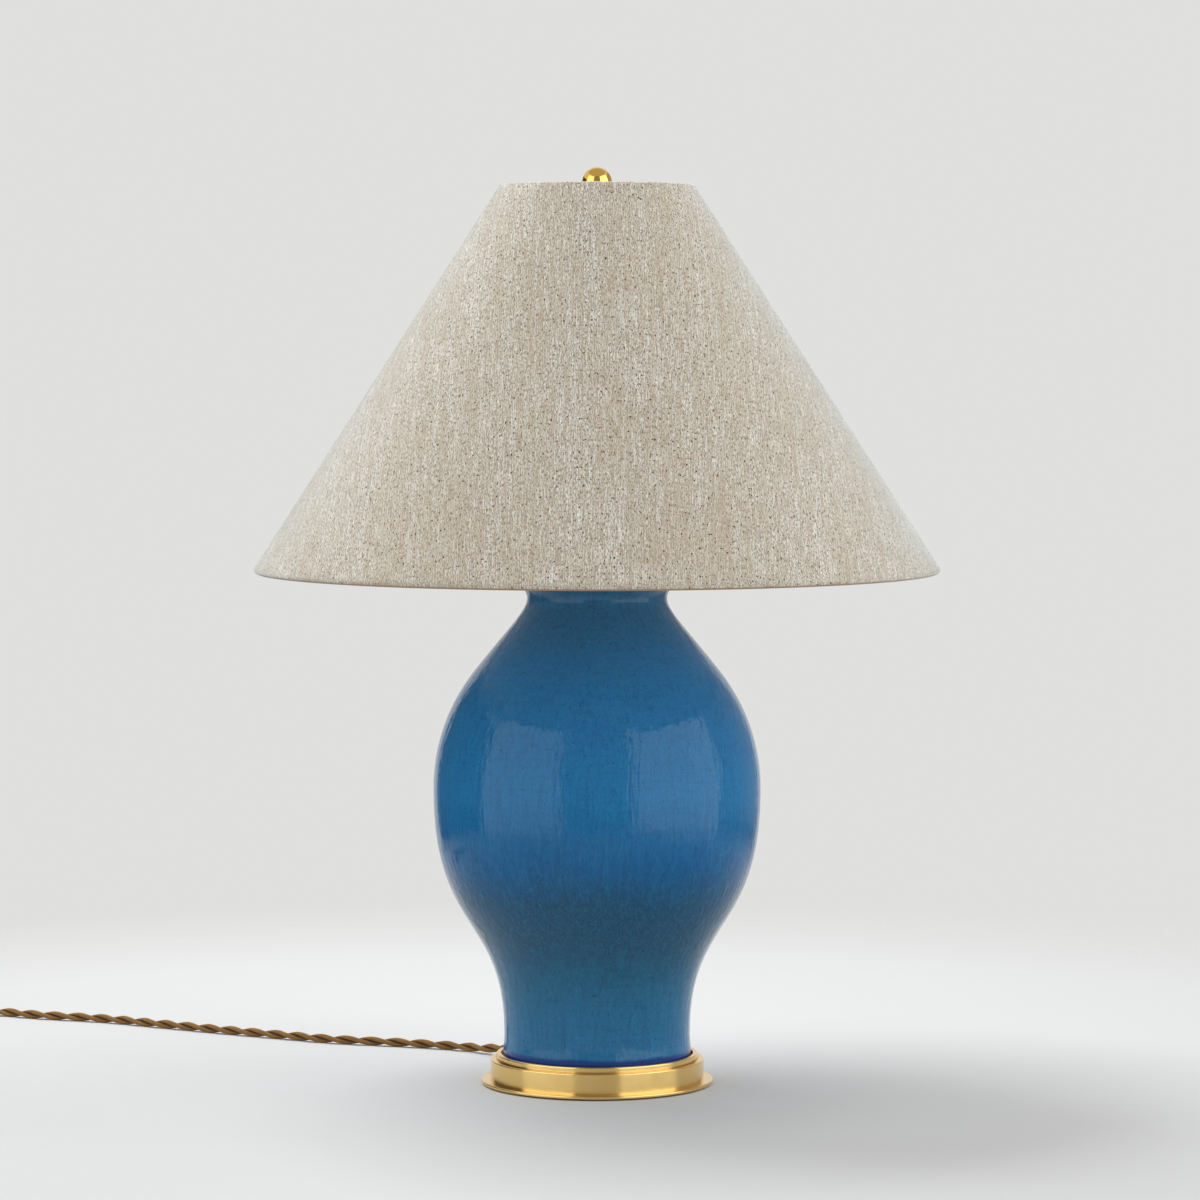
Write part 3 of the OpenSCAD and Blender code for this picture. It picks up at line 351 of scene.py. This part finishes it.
tape = finish("hook_and_loop_tape", {"Roughness": 0.9, "Sheen Weight": 0.3})
fluff = grain(tape, place(tape, (1, 1, 1)), 2500, 2)
feed(tape, "Base Color", mixed(tape, fluff, (0.020, 0.012, 0.008, 1), (0.055, 0.034, 0.022, 1)))
feed(tape, "Normal", relief(tape, fluff, 0.0003))
settle(tie, tape, "lamp")


# Plug and bushing
#
# The plug, the tapered bushing in the base's wall and the switch's knob are moulded in brown
# thermosetting plastic with a soft gloss. The bushing snaps in; the plug's blades are brass.

plastic = finish("brown_plastic", {"Roughness": 0.35, "IOR": 1.5})
flow = grain(plastic, place(plastic, (1, 1, 1)), 60, 4, 0.6)
fine = grain(plastic, place(plastic, (1, 1, 1)), 1400, 2)
feed(plastic, "Base Color", mixed(plastic, flow, (0.030, 0.013, 0.006, 1), (0.058, 0.027, 0.013, 1)))
feed(plastic, "Roughness", spans(plastic, flow, 0.3, 0.7, 0.28, 0.46))
feed(plastic, "Normal", relief(plastic, fine, 0.00006, 0.5))
dress(plastic, "plug_body", "cord_bushing", "switch_knob")


# Base
#
# A spun brass foot in two steps with a raised ring round the vase's foot, turned and brushed on
# the lathe, then lacquered. Under it are an iron disc for weight and a green felt pad, glued on;
# the whole lamp is held together by one threaded pipe.


def metal(name, dark, light, roughness, brushed, turned=True, drawn=0.0):
    """A metal with its lathe or brush lines, clouded by handling. Brushed is the lines' depth.
    Drawn is how far the lathe's lines draw a reflection out across them."""
    made = finish(name, {"Metallic": 1.0, "Roughness": roughness, "Anisotropic": drawn,
                         "Anisotropic Rotation": 0.25})
    if drawn:
        feed(made, "Tangent", add(made, "Tangent", {}, direction_type="RADIAL", axis="Z").outputs[0])
    where = place(made, (1, 1, 1))
    cloud = grain(made, where, 28, 4, 0.6)
    axes = add(made, "SeparateXYZ", {"Vector": where})
    if turned:
        flat = add(made, "CombineXYZ", {"X": axes.outputs["X"], "Y": axes.outputs["Y"]}).outputs[0]
        out = add(made, "VectorMath", {0: flat}, operation="LENGTH").outputs["Value"]
        lines = add(made, "CombineXYZ", {"X": out, "Z": axes.outputs["Z"]}).outputs[0]
    else:
        lines = place(made, (1, 1, 0.08))
    marks = grain(made, lines, 5200, 2, 0.7)
    feed(made, "Base Color", mixed(made, cloud, dark, light))
    worn = spans(made, cloud, 0.3, 0.7, roughness * 0.75, roughness * 1.3)
    feed(made, "Roughness", calc(made, "ADD", worn, calc(made, "MULTIPLY", marks, roughness * 0.25)))
    feed(made, "Normal", relief(made, marks, brushed, 0.35))
    return made


polished_brass = metal("polished_brass", (0.85, 0.565, 0.185, 1), (0.93, 0.665, 0.280, 1), 0.18, 0.00003,
                       drawn=0.9)
satin_brass = metal("satin_brass", (0.62, 0.42, 0.16, 1), (0.76, 0.55, 0.25, 1), 0.28, 0.00006)
steel = metal("bright_steel", (0.42, 0.42, 0.41, 1), (0.60, 0.60, 0.58, 1), 0.33, 0.00005, turned=False)
dress(polished_brass, "base_shell")
dress(satin_brass, "base_nut", "plug_blades")
dress(steel, "base_washer", "center_pipe")

iron = finish("painted_iron", {"Roughness": 0.7})
sand = grain(iron, place(iron, (1, 1, 1)), 900, 4, 0.7)
feed(iron, "Base Color", mixed(iron, sand, (0.010, 0.010, 0.011, 1), (0.040, 0.038, 0.036, 1)))
feed(iron, "Normal", relief(iron, sand, 0.0004))
dress(iron, "base_ballast")

felt = finish("green_felt", {"Roughness": 0.95, "Sheen Weight": 0.35})
hairs = grain(felt, place(felt, (1, 1, 1)), 1500, 6, 0.75)
feed(felt, "Base Color", mixed(felt, hairs, (0.008, 0.022, 0.012, 1), (0.030, 0.062, 0.036, 1)))
feed(felt, "Normal", relief(felt, hairs, 0.0004))
dress(felt, "base_felt")

rubber = finish("black_rubber", {"Roughness": 0.8})
dust = grain(rubber, place(rubber, (1, 1, 1)), 400, 5, 0.7)
feed(rubber, "Base Color", mixed(rubber, dust, (0.006, 0.006, 0.006, 1), (0.022, 0.021, 0.020, 1)))
feed(rubber, "Normal", relief(rubber, dust, 0.0001))
dress(rubber, "foot_gasket")


# Vase
#
# A thrown stoneware baluster vase under a thick blue glaze: glossy, faintly rippled from top to
# bottom, crazed, cobalt where it pools at the foot, and darker and greener under the belly, partly
# as painted shade for a dark table below it. It stands on a rubber ring in the base and is clamped
# there by the pipe through its floor.

vase_wall = 0.006
glaze_height = 0.4
# The outline's knots from the foot ring to the lip: handle before, knot, handle after
vase_outline = (
    ((0.0640, 0.0182), (0.0660, 0.0182), (0.0683, 0.0182)),
    ((0.0701, 0.0204), (0.0701, 0.0237), (0.0701, 0.0277)),
    ((0.0693, 0.0322), (0.0693, 0.0382), (0.0693, 0.1262)),
    ((0.1219, 0.1122), (0.1219, 0.2202), (0.1219, 0.2747)),
    ((0.09213, 0.30717), (0.0859, 0.3150), (0.06473, 0.34161)),
    ((0.0521, 0.3535), (0.0521, 0.3625), (0.0521, 0.3675)),
    ((0.0565, 0.3715), (0.0598, 0.3752), (0.0603, 0.3764)),
    ((0.0591, 0.3780), (0.0580, 0.3780), (0.0560, 0.3780)),
)


def turned_piece(name, outline, fineness, steps, wall):
    """A piece thrown or turned about the lamp's axis: its drawn outline is spun full circle."""
    bpy.ops.object.select_all(action="DESELECT")
    bpy.ops.curve.primitive_bezier_curve_add(location=(0, 0, 0))
    piece = bpy.context.object
    piece.name = name
    drawn = piece.data.splines[0]
    drawn.bezier_points.add(len(outline) - 2)
    for knot, (before, at, after) in zip(drawn.bezier_points, outline):
        knot.handle_left_type = knot.handle_right_type = "FREE"
        knot.handle_left, knot.co, knot.handle_right = [(x, 0, z) for x, z in (before, at, after)]
    piece.data.dimensions = "3D"
    piece.data.resolution_u = piece.data.render_resolution_u = fineness
    bpy.ops.object.convert(target="MESH")
    bpy.ops.object.mode_set(mode="EDIT")
    bpy.ops.mesh.select_all(action="SELECT")
    bpy.ops.mesh.spin(steps=steps, angle=math.tau, center=(0, 0, 0), axis=(0, 0, 1))
    bpy.ops.object.mode_set(mode="OBJECT")
    sealed(bpy.context.object, wall)
    bpy.ops.object.shade_smooth_by_angle(angle=math.radians(50))
    return bpy.context.object


vase = turned_piece("glazed_vase", vase_outline, fineness=20, steps=160, wall=vase_wall)

glaze = finish("blue_glaze", {"Roughness": 0.065, "IOR": 1.5, "Specular IOR Level": 0.21})
here = place(glaze, (1, 1, 1))
height = add(glaze, "SeparateXYZ", {"Vector": here}).outputs["Z"]
drift = grain(glaze, place(glaze, (1, 1, 0.35)), 17, 3, 0.6)
sway = add(glaze, "TexNoise", {"Vector": place(glaze, (1, 1, 0.5)), "Scale": 45.0, "Detail": 1.0})
swayed = {0: sway.outputs["Color"], 1: (0.010, 0.010, 0), 2: here}
pulled_down = add(glaze, "VectorMath", swayed, operation="MULTIPLY_ADD").outputs[0]


def run_down(scale, thin, detail, rough):
    """Streaks that the glaze drew as it ran down the wall."""
    drawn = add(glaze, "Mapping", {"Vector": pulled_down, "Scale": (1, 1, thin)}).outputs["Vector"]
    return grain(glaze, drawn, scale, detail, rough)


streak = run_down(330, 0.045, 3, 0.65)
level_z = calc(glaze, "ADD", height, calc(glaze, "MULTIPLY", calc(glaze, "SUBTRACT", drift, 0.5), 0.030))
bands = add(glaze, "ValToRGB", {"Fac": spans(glaze, level_z, 0.0, glaze_height)})
ramp = bands.color_ramp
# Share of glaze_height up the vase, and the glaze's colour there. Under the belly the colours are
# partly painted shade: they are darkened, most at 0.29 and 0.36, to stand for the dark reflection
# and weak bounce light of a dark table.
glaze_and_shade_bands = (
    (0.090, (0.025, 0.154, 0.320, 1)), (0.180, (0.024, 0.140, 0.260, 1)), (0.290, (0.023, 0.086, 0.150, 1)),
    (0.360, (0.017, 0.077, 0.149, 1)), (0.440, (0.006, 0.100, 0.265, 1)), (0.560, (0.017, 0.163, 0.372, 1)),
    (0.780, (0.023, 0.160, 0.369, 1)), (0.930, (0.032, 0.107, 0.195, 1)))
ramp.elements[0].position, ramp.elements[0].color = glaze_and_shade_bands[0]
ramp.elements[1].position, ramp.elements[1].color = glaze_and_shade_bands[-1]
for at, shade in glaze_and_shade_bands[1:-1]:
    ramp.elements.new(at).color = shade
hair = run_down(820, 0.07, 2, 0.6)
wobble = calc(glaze, "MULTIPLY", calc(glaze, "SUBTRACT", drift, 0.5), 0.004)
pool_z = calc(glaze, "ADD", height, wobble)
# The rings of the potter's fingers show faintly where the glaze is thin
rings = grain(glaze, place(glaze, (1, 1, 12)), 48, 3, 0.65)
craze = add(glaze, "TexVoronoi", {"Vector": place(glaze, (1, 1, 0.45)), "Scale": 380.0},
            feature="DISTANCE_TO_EDGE").outputs["Distance"]
pits = grain(glaze, here, 620, 1)
feed(glaze, "Base Color", layered(glaze, bands.outputs["Color"], (
    (streak, 0.48, 0.78, 0.38, (0.022, 0.184, 0.338, 1)),
    (streak, 0.50, 0.22, 0.40, (0.010, 0.062, 0.150, 1)),
    (hair, 0.50, 0.68, 0.30, (0.022, 0.198, 0.373, 1)),
    (pool_z, 0.0280, 0.0256, 1.0, (0.010, 0.045, 0.230, 1)),
    (rings, 0.50, 0.72, 0.22, (0.010, 0.060, 0.135, 1)),
    (craze, 0.06, 0.015, 0.22, (0.006, 0.030, 0.070, 1)),
    (pits, 0.735, 0.76, 1.0, (0.004, 0.014, 0.030, 1)))))
ripple = run_down(260, 0.08, 2, 0.5)
swell = grain(glaze, here, 55, 2)
pulled = calc(glaze, "ADD", ripple, calc(glaze, "MULTIPLY", swell, 1.2))
feed(glaze, "Normal", relief(glaze, pulled, 0.00038, 1.0))
feed(glaze, "Roughness", spans(glaze, drift, 0.3, 0.7, 0.045, 0.085))
settle(vase, glaze, "lamp")
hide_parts("vase_body")


# Cap, stem and harp
#
# A spun brass cap closes the vase's neck, and a short turned neck stands on it. A nut clamps the
# harp's saddle there. The harp is one bent brass wire whose feet stand inside the saddle's prongs,
# each locked by a sliding sleeve; the shade's seat and stud turn on its rivet.

dress(polished_brass, "vase_cap", "stem_neck", "harp_sleeve_left", "harp_sleeve_right", "harp_seat")
wire_brass = metal("drawn_brass", (0.60, 0.41, 0.16, 1), (0.74, 0.53, 0.24, 1), 0.24, 0.00004, turned=False)
dress(wire_brass, "harp_wire", "harp_saddle", "saddle_nut")


# Socket
#
# A medium-base lampholder: a brass cap screwed on the pipe, a beaded brass shell over a paper
# liner, and inside them the dark insulating body with its screws, screw shell and centre contact.
# The knob's shaft goes through the shell's front.

dress(satin_brass, "socket_cap", "socket_shell", "center_contact")

card = finish("grey_card", {"Roughness": 0.9})
pulp = grain(card, place(card, (1, 1, 0.3)), 700, 5, 0.7)
feed(card, "Base Color", mixed(card, pulp, (0.20, 0.14, 0.075, 1), (0.36, 0.27, 0.16, 1)))
feed(card, "Normal", relief(card, pulp, 0.0001))
dress(card, "socket_liner")

phenolic = finish("black_phenolic", {"Roughness": 0.42})
flecks = grain(phenolic, place(phenolic, (1, 1, 1)), 800, 3, 0.6)
feed(phenolic, "Base Color", mixed(phenolic, flecks, (0.006, 0.005, 0.005, 1), (0.030, 0.024, 0.020, 1)))
feed(phenolic, "Normal", relief(phenolic, flecks, 0.00005))
dress(phenolic, "socket_body")

nickel = metal("nickel_plate", (0.52, 0.50, 0.46, 1), (0.70, 0.68, 0.63, 1), 0.22, 0.00003)
dress(nickel, "terminal_screws")

sleeving = finish("brown_insulation", {"Roughness": 0.5})
rubbed = grain(sleeving, place(sleeving, (1, 1, 0.2)), 500, 3)
feed(sleeving, "Base Color", mixed(sleeving, rubbed, (0.10, 0.050, 0.018, 1), (0.19, 0.10, 0.040, 1)))
feed(sleeving, "Normal", relief(sleeving, rubbed, 0.00008))
dress(sleeving, "inner_wires")


# Bulb
#
# A frosted pear-shaped bulb on a medium screw base of aluminium. The glass is etched inside, so
# it looks milky, and it is cemented into the base's cup.

aluminium = metal("aluminium", (0.66, 0.65, 0.63, 1), (0.80, 0.79, 0.77, 1), 0.25, 0.00005)
dress(aluminium, "bulb_base", "screw_shell")

bulb_wall = 0.0009
bulb_outline = (
    ((0.0127, 0.4530), (0.0127, 0.4600), (0.0127, 0.4640)),
    ((0.0127, 0.4660), (0.0127, 0.46765), (0.0157, 0.47965)),
    ((0.0300, 0.50065), (0.0300, 0.52065), (0.0300, 0.53722)),
    ((0.01657, 0.55065), (0.0, 0.55065), (-0.0060, 0.55065)),
)
bulb = turned_piece("frosted_bulb", bulb_outline, fineness=16, steps=72, wall=bulb_wall)
frosted = finish("frosted_glass", {"Base Color": (0.93, 0.93, 0.91, 1), "Transmission Weight": 0.15,
                                   "IOR": 1.45, "Roughness": 0.38})
etched = grain(frosted, place(frosted, (1, 1, 1)), 2200, 3)
feed(frosted, "Roughness", spans(frosted, etched, 0.3, 0.7, 0.30, 0.48))
feed(frosted, "Normal", relief(frosted, etched, 0.00002))
settle(bulb, frosted, "lamp")
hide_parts("bulb_glass")


# Shade
#
# An empire shade: heathered oatmeal linen laminated to a stiff white lining, cut as one flat
# fan, lapped and glued in one seam at the back, and rolled round a wire ring at each rim with
# the hem turned in. The upper ring's three arms meet at a hub that sits on the harp.

rim_r = 0.071
rim_z = 0.66955
shade_r = 0.255
shade_h = 0.286
linen_t = 0.0009
roll_r = 0.0024
hem_w = 0.014
hem_depth = 0.0017
hem_edge = 0.003
lap = 0.012
lap_r = 0.16
lap_rise = 0.03
warp_pitch = 0.0017
weft_pitch = 0.0014
shade_slope = math.atan2(shade_r - rim_r, shade_h)
slant = math.hypot(shade_r - rim_r, shade_h)
fan_start = rim_r / math.sin(shade_slope)
columns = 232
half = linen_t / 2


def on_wall(down, deep):
    """Radius and height of a point: down the slope from the upper rim, deep below the face."""
    return (rim_r + down * math.sin(shade_slope) - deep * math.cos(shade_slope),
            rim_z - down * math.cos(shade_slope) - deep * math.sin(shade_slope))


def rolled(rim, way, angles):
    """Points of the linen's middle line round a rim's ring, and how far down the fan each is."""
    r = roll_r - half
    points = []
    for a in [math.radians(x) for x in angles]:
        down, deep = rim + way * (r * math.cos(a) - roll_r), roll_r - r * math.sin(a)
        points.append((down, deep, rim - way * r * (math.pi / 2 - a)))
    return points


face_rows = [roll_r + (slant - 2 * roll_r) * i / 40 for i in range(41)]
# Each point of the outline: down the slope, depth under the face, place down the flat fan
outline = [(hem_w, hem_depth + half, -hem_w - hem_edge), (hem_w * 0.55, hem_depth + half, -hem_w * 0.6)]
outline += [(down, deep, -abs(flat)) for down, deep, flat in rolled(0, -1, range(-90, 90, 22))]
outline += [(down, half, down) for down in face_rows]
for down, deep, flat in rolled(slant, 1, range(68, -91, -22)):
    outline.append((down, deep, slant + abs(flat - slant)))
outline += [(slant - hem_w * 0.55, hem_depth + half, slant + hem_w * 0.6),
            (slant - hem_w, hem_depth + half, slant + hem_w + hem_edge)]
verts, faces, uvs = [], [], []
for column in range(columns + 1):
    # The fan closes at the back, and its last edge laps over its first
    turn = -math.pi + (math.tau + lap / lap_r) * column / columns
    lifted = min(1, max(0, (turn - math.pi + lap_rise) / lap_rise)) * linen_t
    for down, deep, flat in outline:
        r, z = on_wall(down, deep - lifted)
        verts.append((r * math.sin(turn), -r * math.cos(turn), z))
    if column:
        before = -math.pi + (math.tau + lap / lap_r) * (column - 1) / columns
        rows = len(outline)
        for k in range(rows - 1):
            a, b = (column - 1) * rows + k, column * rows + k
            faces.append((a, a + 1, b + 1, b))
            for angle, row in ((before, k), (before, k + 1), (turn, k + 1), (turn, k)):
                far = fan_start + outline[row][2]
                fan = angle * math.sin(shade_slope)
                uvs.append((far * math.sin(fan), -far * math.cos(fan)))
linen_cover = mesh_piece("linen_cover", verts, faces, uvs)
bpy.ops.object.select_all(action="DESELECT")
bpy.context.view_layer.objects.active = linen_cover
linen_cover.select_set(True)
cloth = linen_cover.modifiers.new("cloth", "SOLIDIFY")
cloth.thickness, cloth.offset = linen_t, 0
bpy.ops.object.modifier_apply(modifier="cloth")

linen = finish("oatmeal_linen", {"Roughness": 0.95, "Specular IOR Level": 0.15, "Sheen Weight": 0.62,
                                 "Sheen Roughness": 0.4, "Sheen Tint": (0.78, 0.92, 1.0, 1)})
flat_uv = place(linen, (1, 1, 1), "UV")
yarns = add(linen, "SeparateXYZ", {"Vector": flat_uv})


def yarn(across, along, detail, rough=0.5):
    """Streaks that follow the warp; across and along are how many there are to the metre."""
    return grain(linen, place(linen, (across, along, 1), "UV"), 1, detail, rough)


heather, fibre, slub = yarn(1500, 380, 2, 0.75), yarn(1350, 62, 2, 0.6), yarn(240, 11, 3, 0.6)
cloud, tinge, speck = yarn(26, 6, 3, 0.6), yarn(1000, 260, 1), yarn(700, 400, 0)
# The warp's yarns wander a little
wander = calc(linen, "MULTIPLY", calc(linen, "SUBTRACT", slub, 0.5), 0.004)
warp_at = calc(linen, "MULTIPLY", calc(linen, "ADD", yarns.outputs["X"], wander), math.tau / warp_pitch)
weft_at = calc(linen, "MULTIPLY", yarns.outputs["Y"], math.tau / weft_pitch)
warp, weft = calc(linen, "SINE", warp_at), calc(linen, "SINE", weft_at)
weave = spans(linen, calc(linen, "MULTIPLY", warp, weft), -1, 1)
colour = layered(linen, (0.800, 0.752, 0.655, 1), (
    (heather, 0.44, 0.64, 1.0, (0.105, 0.082, 0.054, 1)),
    (fibre, 0.47, 0.60, 0.70, (0.365, 0.300, 0.218, 1)),
    (fibre, 0.46, 0.34, 0.58, (0.820, 0.796, 0.745, 1)),
    (warp, 0.1, 1.0, 0.24, (0.300, 0.240, 0.170, 1)),
    (slub, 0.48, 0.64, 0.38, (0.420, 0.330, 0.235, 1)),
    (slub, 0.44, 0.30, 0.28, (0.830, 0.808, 0.762, 1)),
    (cloud, 0.38, 0.66, 0.36, (0.430, 0.345, 0.248, 1)),
    (tinge, 0.59, 0.69, 0.75, (0.385, 0.235, 0.122, 1)),
    (speck, 0.718, 0.746, 0.95, (0.075, 0.036, 0.015, 1))))
# Painted shade: the underside of the lower rim's roll is painted browner and darker than the face,
# for shade and a brown table's bounce light, between these distances past it
brown_from, brown_to = (0.0016, 0.0026), (0.0048, 0.0062)
folded = add(linen, "VectorMath", {0: flat_uv}, operation="LENGTH").outputs["Value"]
past_face = calc(linen, "SUBTRACT", folded, fan_start + slant)
begins, ends = spans(linen, past_face, *brown_from), spans(linen, past_face, *brown_to, 1, 0)
under = calc(linen, "MULTIPLY", begins, ends)
feed(linen, "Base Color", mixed(linen, under, colour, (0.300, 0.175, 0.085, 1)))
threads = calc(linen, "ADD", calc(linen, "MULTIPLY", weave, 0.45), calc(linen, "ADD", heather, fibre))
feed(linen, "Normal", relief(linen, threads, 0.00022, 0.9))
settle(linen_cover, linen, "shade")
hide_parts("shade_cover")

styrene = finish("white_lining", {"Roughness": 0.55})
mottle = grain(styrene, place(styrene, (1, 1, 1)), 90, 4, 0.6)
pores = grain(styrene, place(styrene, (1, 1, 1)), 1600, 2)
feed(styrene, "Base Color", mixed(styrene, mottle, (0.72, 0.70, 0.65, 1), (0.80, 0.785, 0.74, 1)))
feed(styrene, "Normal", relief(styrene, pores, 0.00006))
dress(styrene, "shade_lining")
dress(wire_brass, "shade_top_frame", "shade_bottom_ring")


# Finial
#
# A solid brass ball on a short turned foot, bored and tapped for the harp's stud. It is polished
# bright, screws down on the hub and holds the shade.

mirror_brass = metal("bright_brass", (0.88, 0.55, 0.125, 1), (0.94, 0.63, 0.185, 1), 0.07, 0.00001)
dress(mirror_brass, "finial")


# Studio
#
# A pale floor that melts into a pale background. Two tall soft boxes stand in front at either
# side, as the vase mirrors them, with dim cards in and beside the gap and a lighter one high on
# the right. More light comes from behind at both sides.

paper = (0.745, 0.745, 0.73)
floor_r = 1.1
floor_whole = 0.7
room_light = 0.42
under_felt_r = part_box("base_felt")[1].x - 0.0005

bpy.ops.object.select_all(action="DESELECT")
bpy.ops.mesh.primitive_circle_add(radius=floor_r, vertices=96, fill_type="NGON")
floor = bpy.context.object
floor.name = "floor"
pale = finish("pale_floor", {"Roughness": 0.7, "Specular IOR Level": 0.06})
spot = add(pale, "VectorMath", {0: place(pale, (1, 1, 1))}, operation="LENGTH").outputs["Value"]
fade = spans(pale, spot, floor_whole, floor_r * 0.98)
# From below the floor is clear, and open under the felt, so that the lamp's underside can be seen
fade = calc(pale, "MAXIMUM", fade, add(pale, "NewGeometry", {}).outputs["Backfacing"])
fade = calc(pale, "MAXIMUM", fade, calc(pale, "LESS_THAN", spot, under_felt_r))
dull = grain(pale, place(pale, (1, 1, 1)), 6, 3)
near = mixed(pale, dull, (0.575, 0.564, 0.555, 1), (0.595, 0.584, 0.575, 1))
feed(pale, "Base Color", mixed(pale, spans(pale, spot, 0.25, 0.8), near, (0.53, 0.522, 0.51, 1)))
clear = add(pale, "BsdfTransparent", {}).outputs[0]
shown = add(pale, "MixShader", {0: fade, 1: pale.node_tree.nodes["Principled BSDF"].outputs[0], 2: clear})
pale.node_tree.links.new(shown.outputs[0], pale.node_tree.nodes["Material Output"].inputs["Surface"])
floor.data.materials.append(pale)


def stand(turn, away, high, dip):
    """Where a lamp or a card stands, from the camera's side round, and how it turns to face the axis."""
    angle = math.radians(turn)
    return {"location": (away * math.sin(angle), -away * math.cos(angle), high),
            "rotation": (math.radians(90 - dip), 0, angle)}


# Name, turn from the camera's side, distance, height of the middle, dip, width, tallness, watts, mirrored
soft_lights = (
    ("soft_box_left", -55, 2.0, 0.9, 0, 2.3, 3.6, 23, True),
    ("soft_box_right", 59, 2.0, 0.9, 0, 2.7, 3.6, 40, True),
    ("side_left", -132, 1.6, 2.7, 54, 2.0, 1.8, 97, False),
    ("side_right", 110, 1.7, 2.3, 46, 2.0, 2.0, 27, False),
)
for name, turn, away, high, dip, wide, tall, watts, mirrored in soft_lights:
    bpy.ops.object.light_add(type="AREA", **stand(turn, away, high, dip))
    lamp = bpy.context.object
    lamp.name = name
    lamp.data.shape = "RECTANGLE"
    lamp.data.size, lamp.data.size_y, lamp.data.energy = wide, tall, watts
    lamp.data.color = (0.93, 0.97, 1.0)
    lamp.visible_camera = False
    lamp.visible_glossy = mirrored

# Name, turn from the camera's side, distance, height of the middle, dip, width, tallness, how light it is
cards = (
    ("card_front", 0, 2.2, 0.9, 0, 2.05, 4.4, 0.30),
    ("card_left", -118, 2.2, 0.1, 0, 2.6, 2.6, 0.08),
    ("card_right", 124, 2.2, -0.7, 0, 2.4, 1.1, 0.25),
    ("card_right_high", 124, 2.2, 1.02, 0, 2.4, 2.34, 0.38),
    ("card_above", 0, 0.0, 3.0, 90, 4.0, 4.0, 0.50),
)
for name, turn, away, high, dip, wide, tall, light in cards:
    bpy.ops.mesh.primitive_plane_add(size=1, **stand(turn, away, high, dip))
    card_plane = bpy.context.object
    card_plane.name = name
    card_plane.scale = (wide, tall, 1)
    card_plane.visible_camera = card_plane.visible_diffuse = False
    card_plane.visible_transmission = card_plane.visible_shadow = False
    dim = finish(name, {"Base Color": (0, 0, 0, 1), "Specular IOR Level": 0.0,
                        "Emission Color": (1.0, 0.93, 0.84, 1), "Emission Strength": light})
    card_plane.data.materials.append(dim)

world = bpy.data.worlds.new("studio")
bpy.context.scene.world = world
world.use_nodes = True
tree = world.node_tree
room = tree.nodes["Background"]
room.inputs["Color"].default_value = (0.98, 0.97, 0.955, 1)
room.inputs["Strength"].default_value = room_light
seen = tree.nodes.new("ShaderNodeBackground")
seen.inputs["Color"].default_value = (*paper, 1)
ray = tree.nodes.new("ShaderNodeLightPath")
first = tree.nodes.new("ShaderNodeMath")
first.operation = "MAXIMUM"
either = tree.nodes.new("ShaderNodeMath")
either.operation = "MAXIMUM"
tree.links.new(ray.outputs["Is Camera Ray"], first.inputs[0])
tree.links.new(ray.outputs["Is Glossy Ray"], first.inputs[1])
tree.links.new(first.outputs[0], either.inputs[0])
tree.links.new(ray.outputs["Is Transmission Ray"], either.inputs[1])
both = tree.nodes.new("ShaderNodeMixShader")
tree.links.new(either.outputs[0], both.inputs[0])
tree.links.new(room.outputs[0], both.inputs[1])
tree.links.new(seen.outputs[0], both.inputs[2])
tree.links.new(both.outputs[0], tree.nodes["World Output"].inputs["Surface"])
bpy.context.scene.view_settings.view_transform = "Standard"
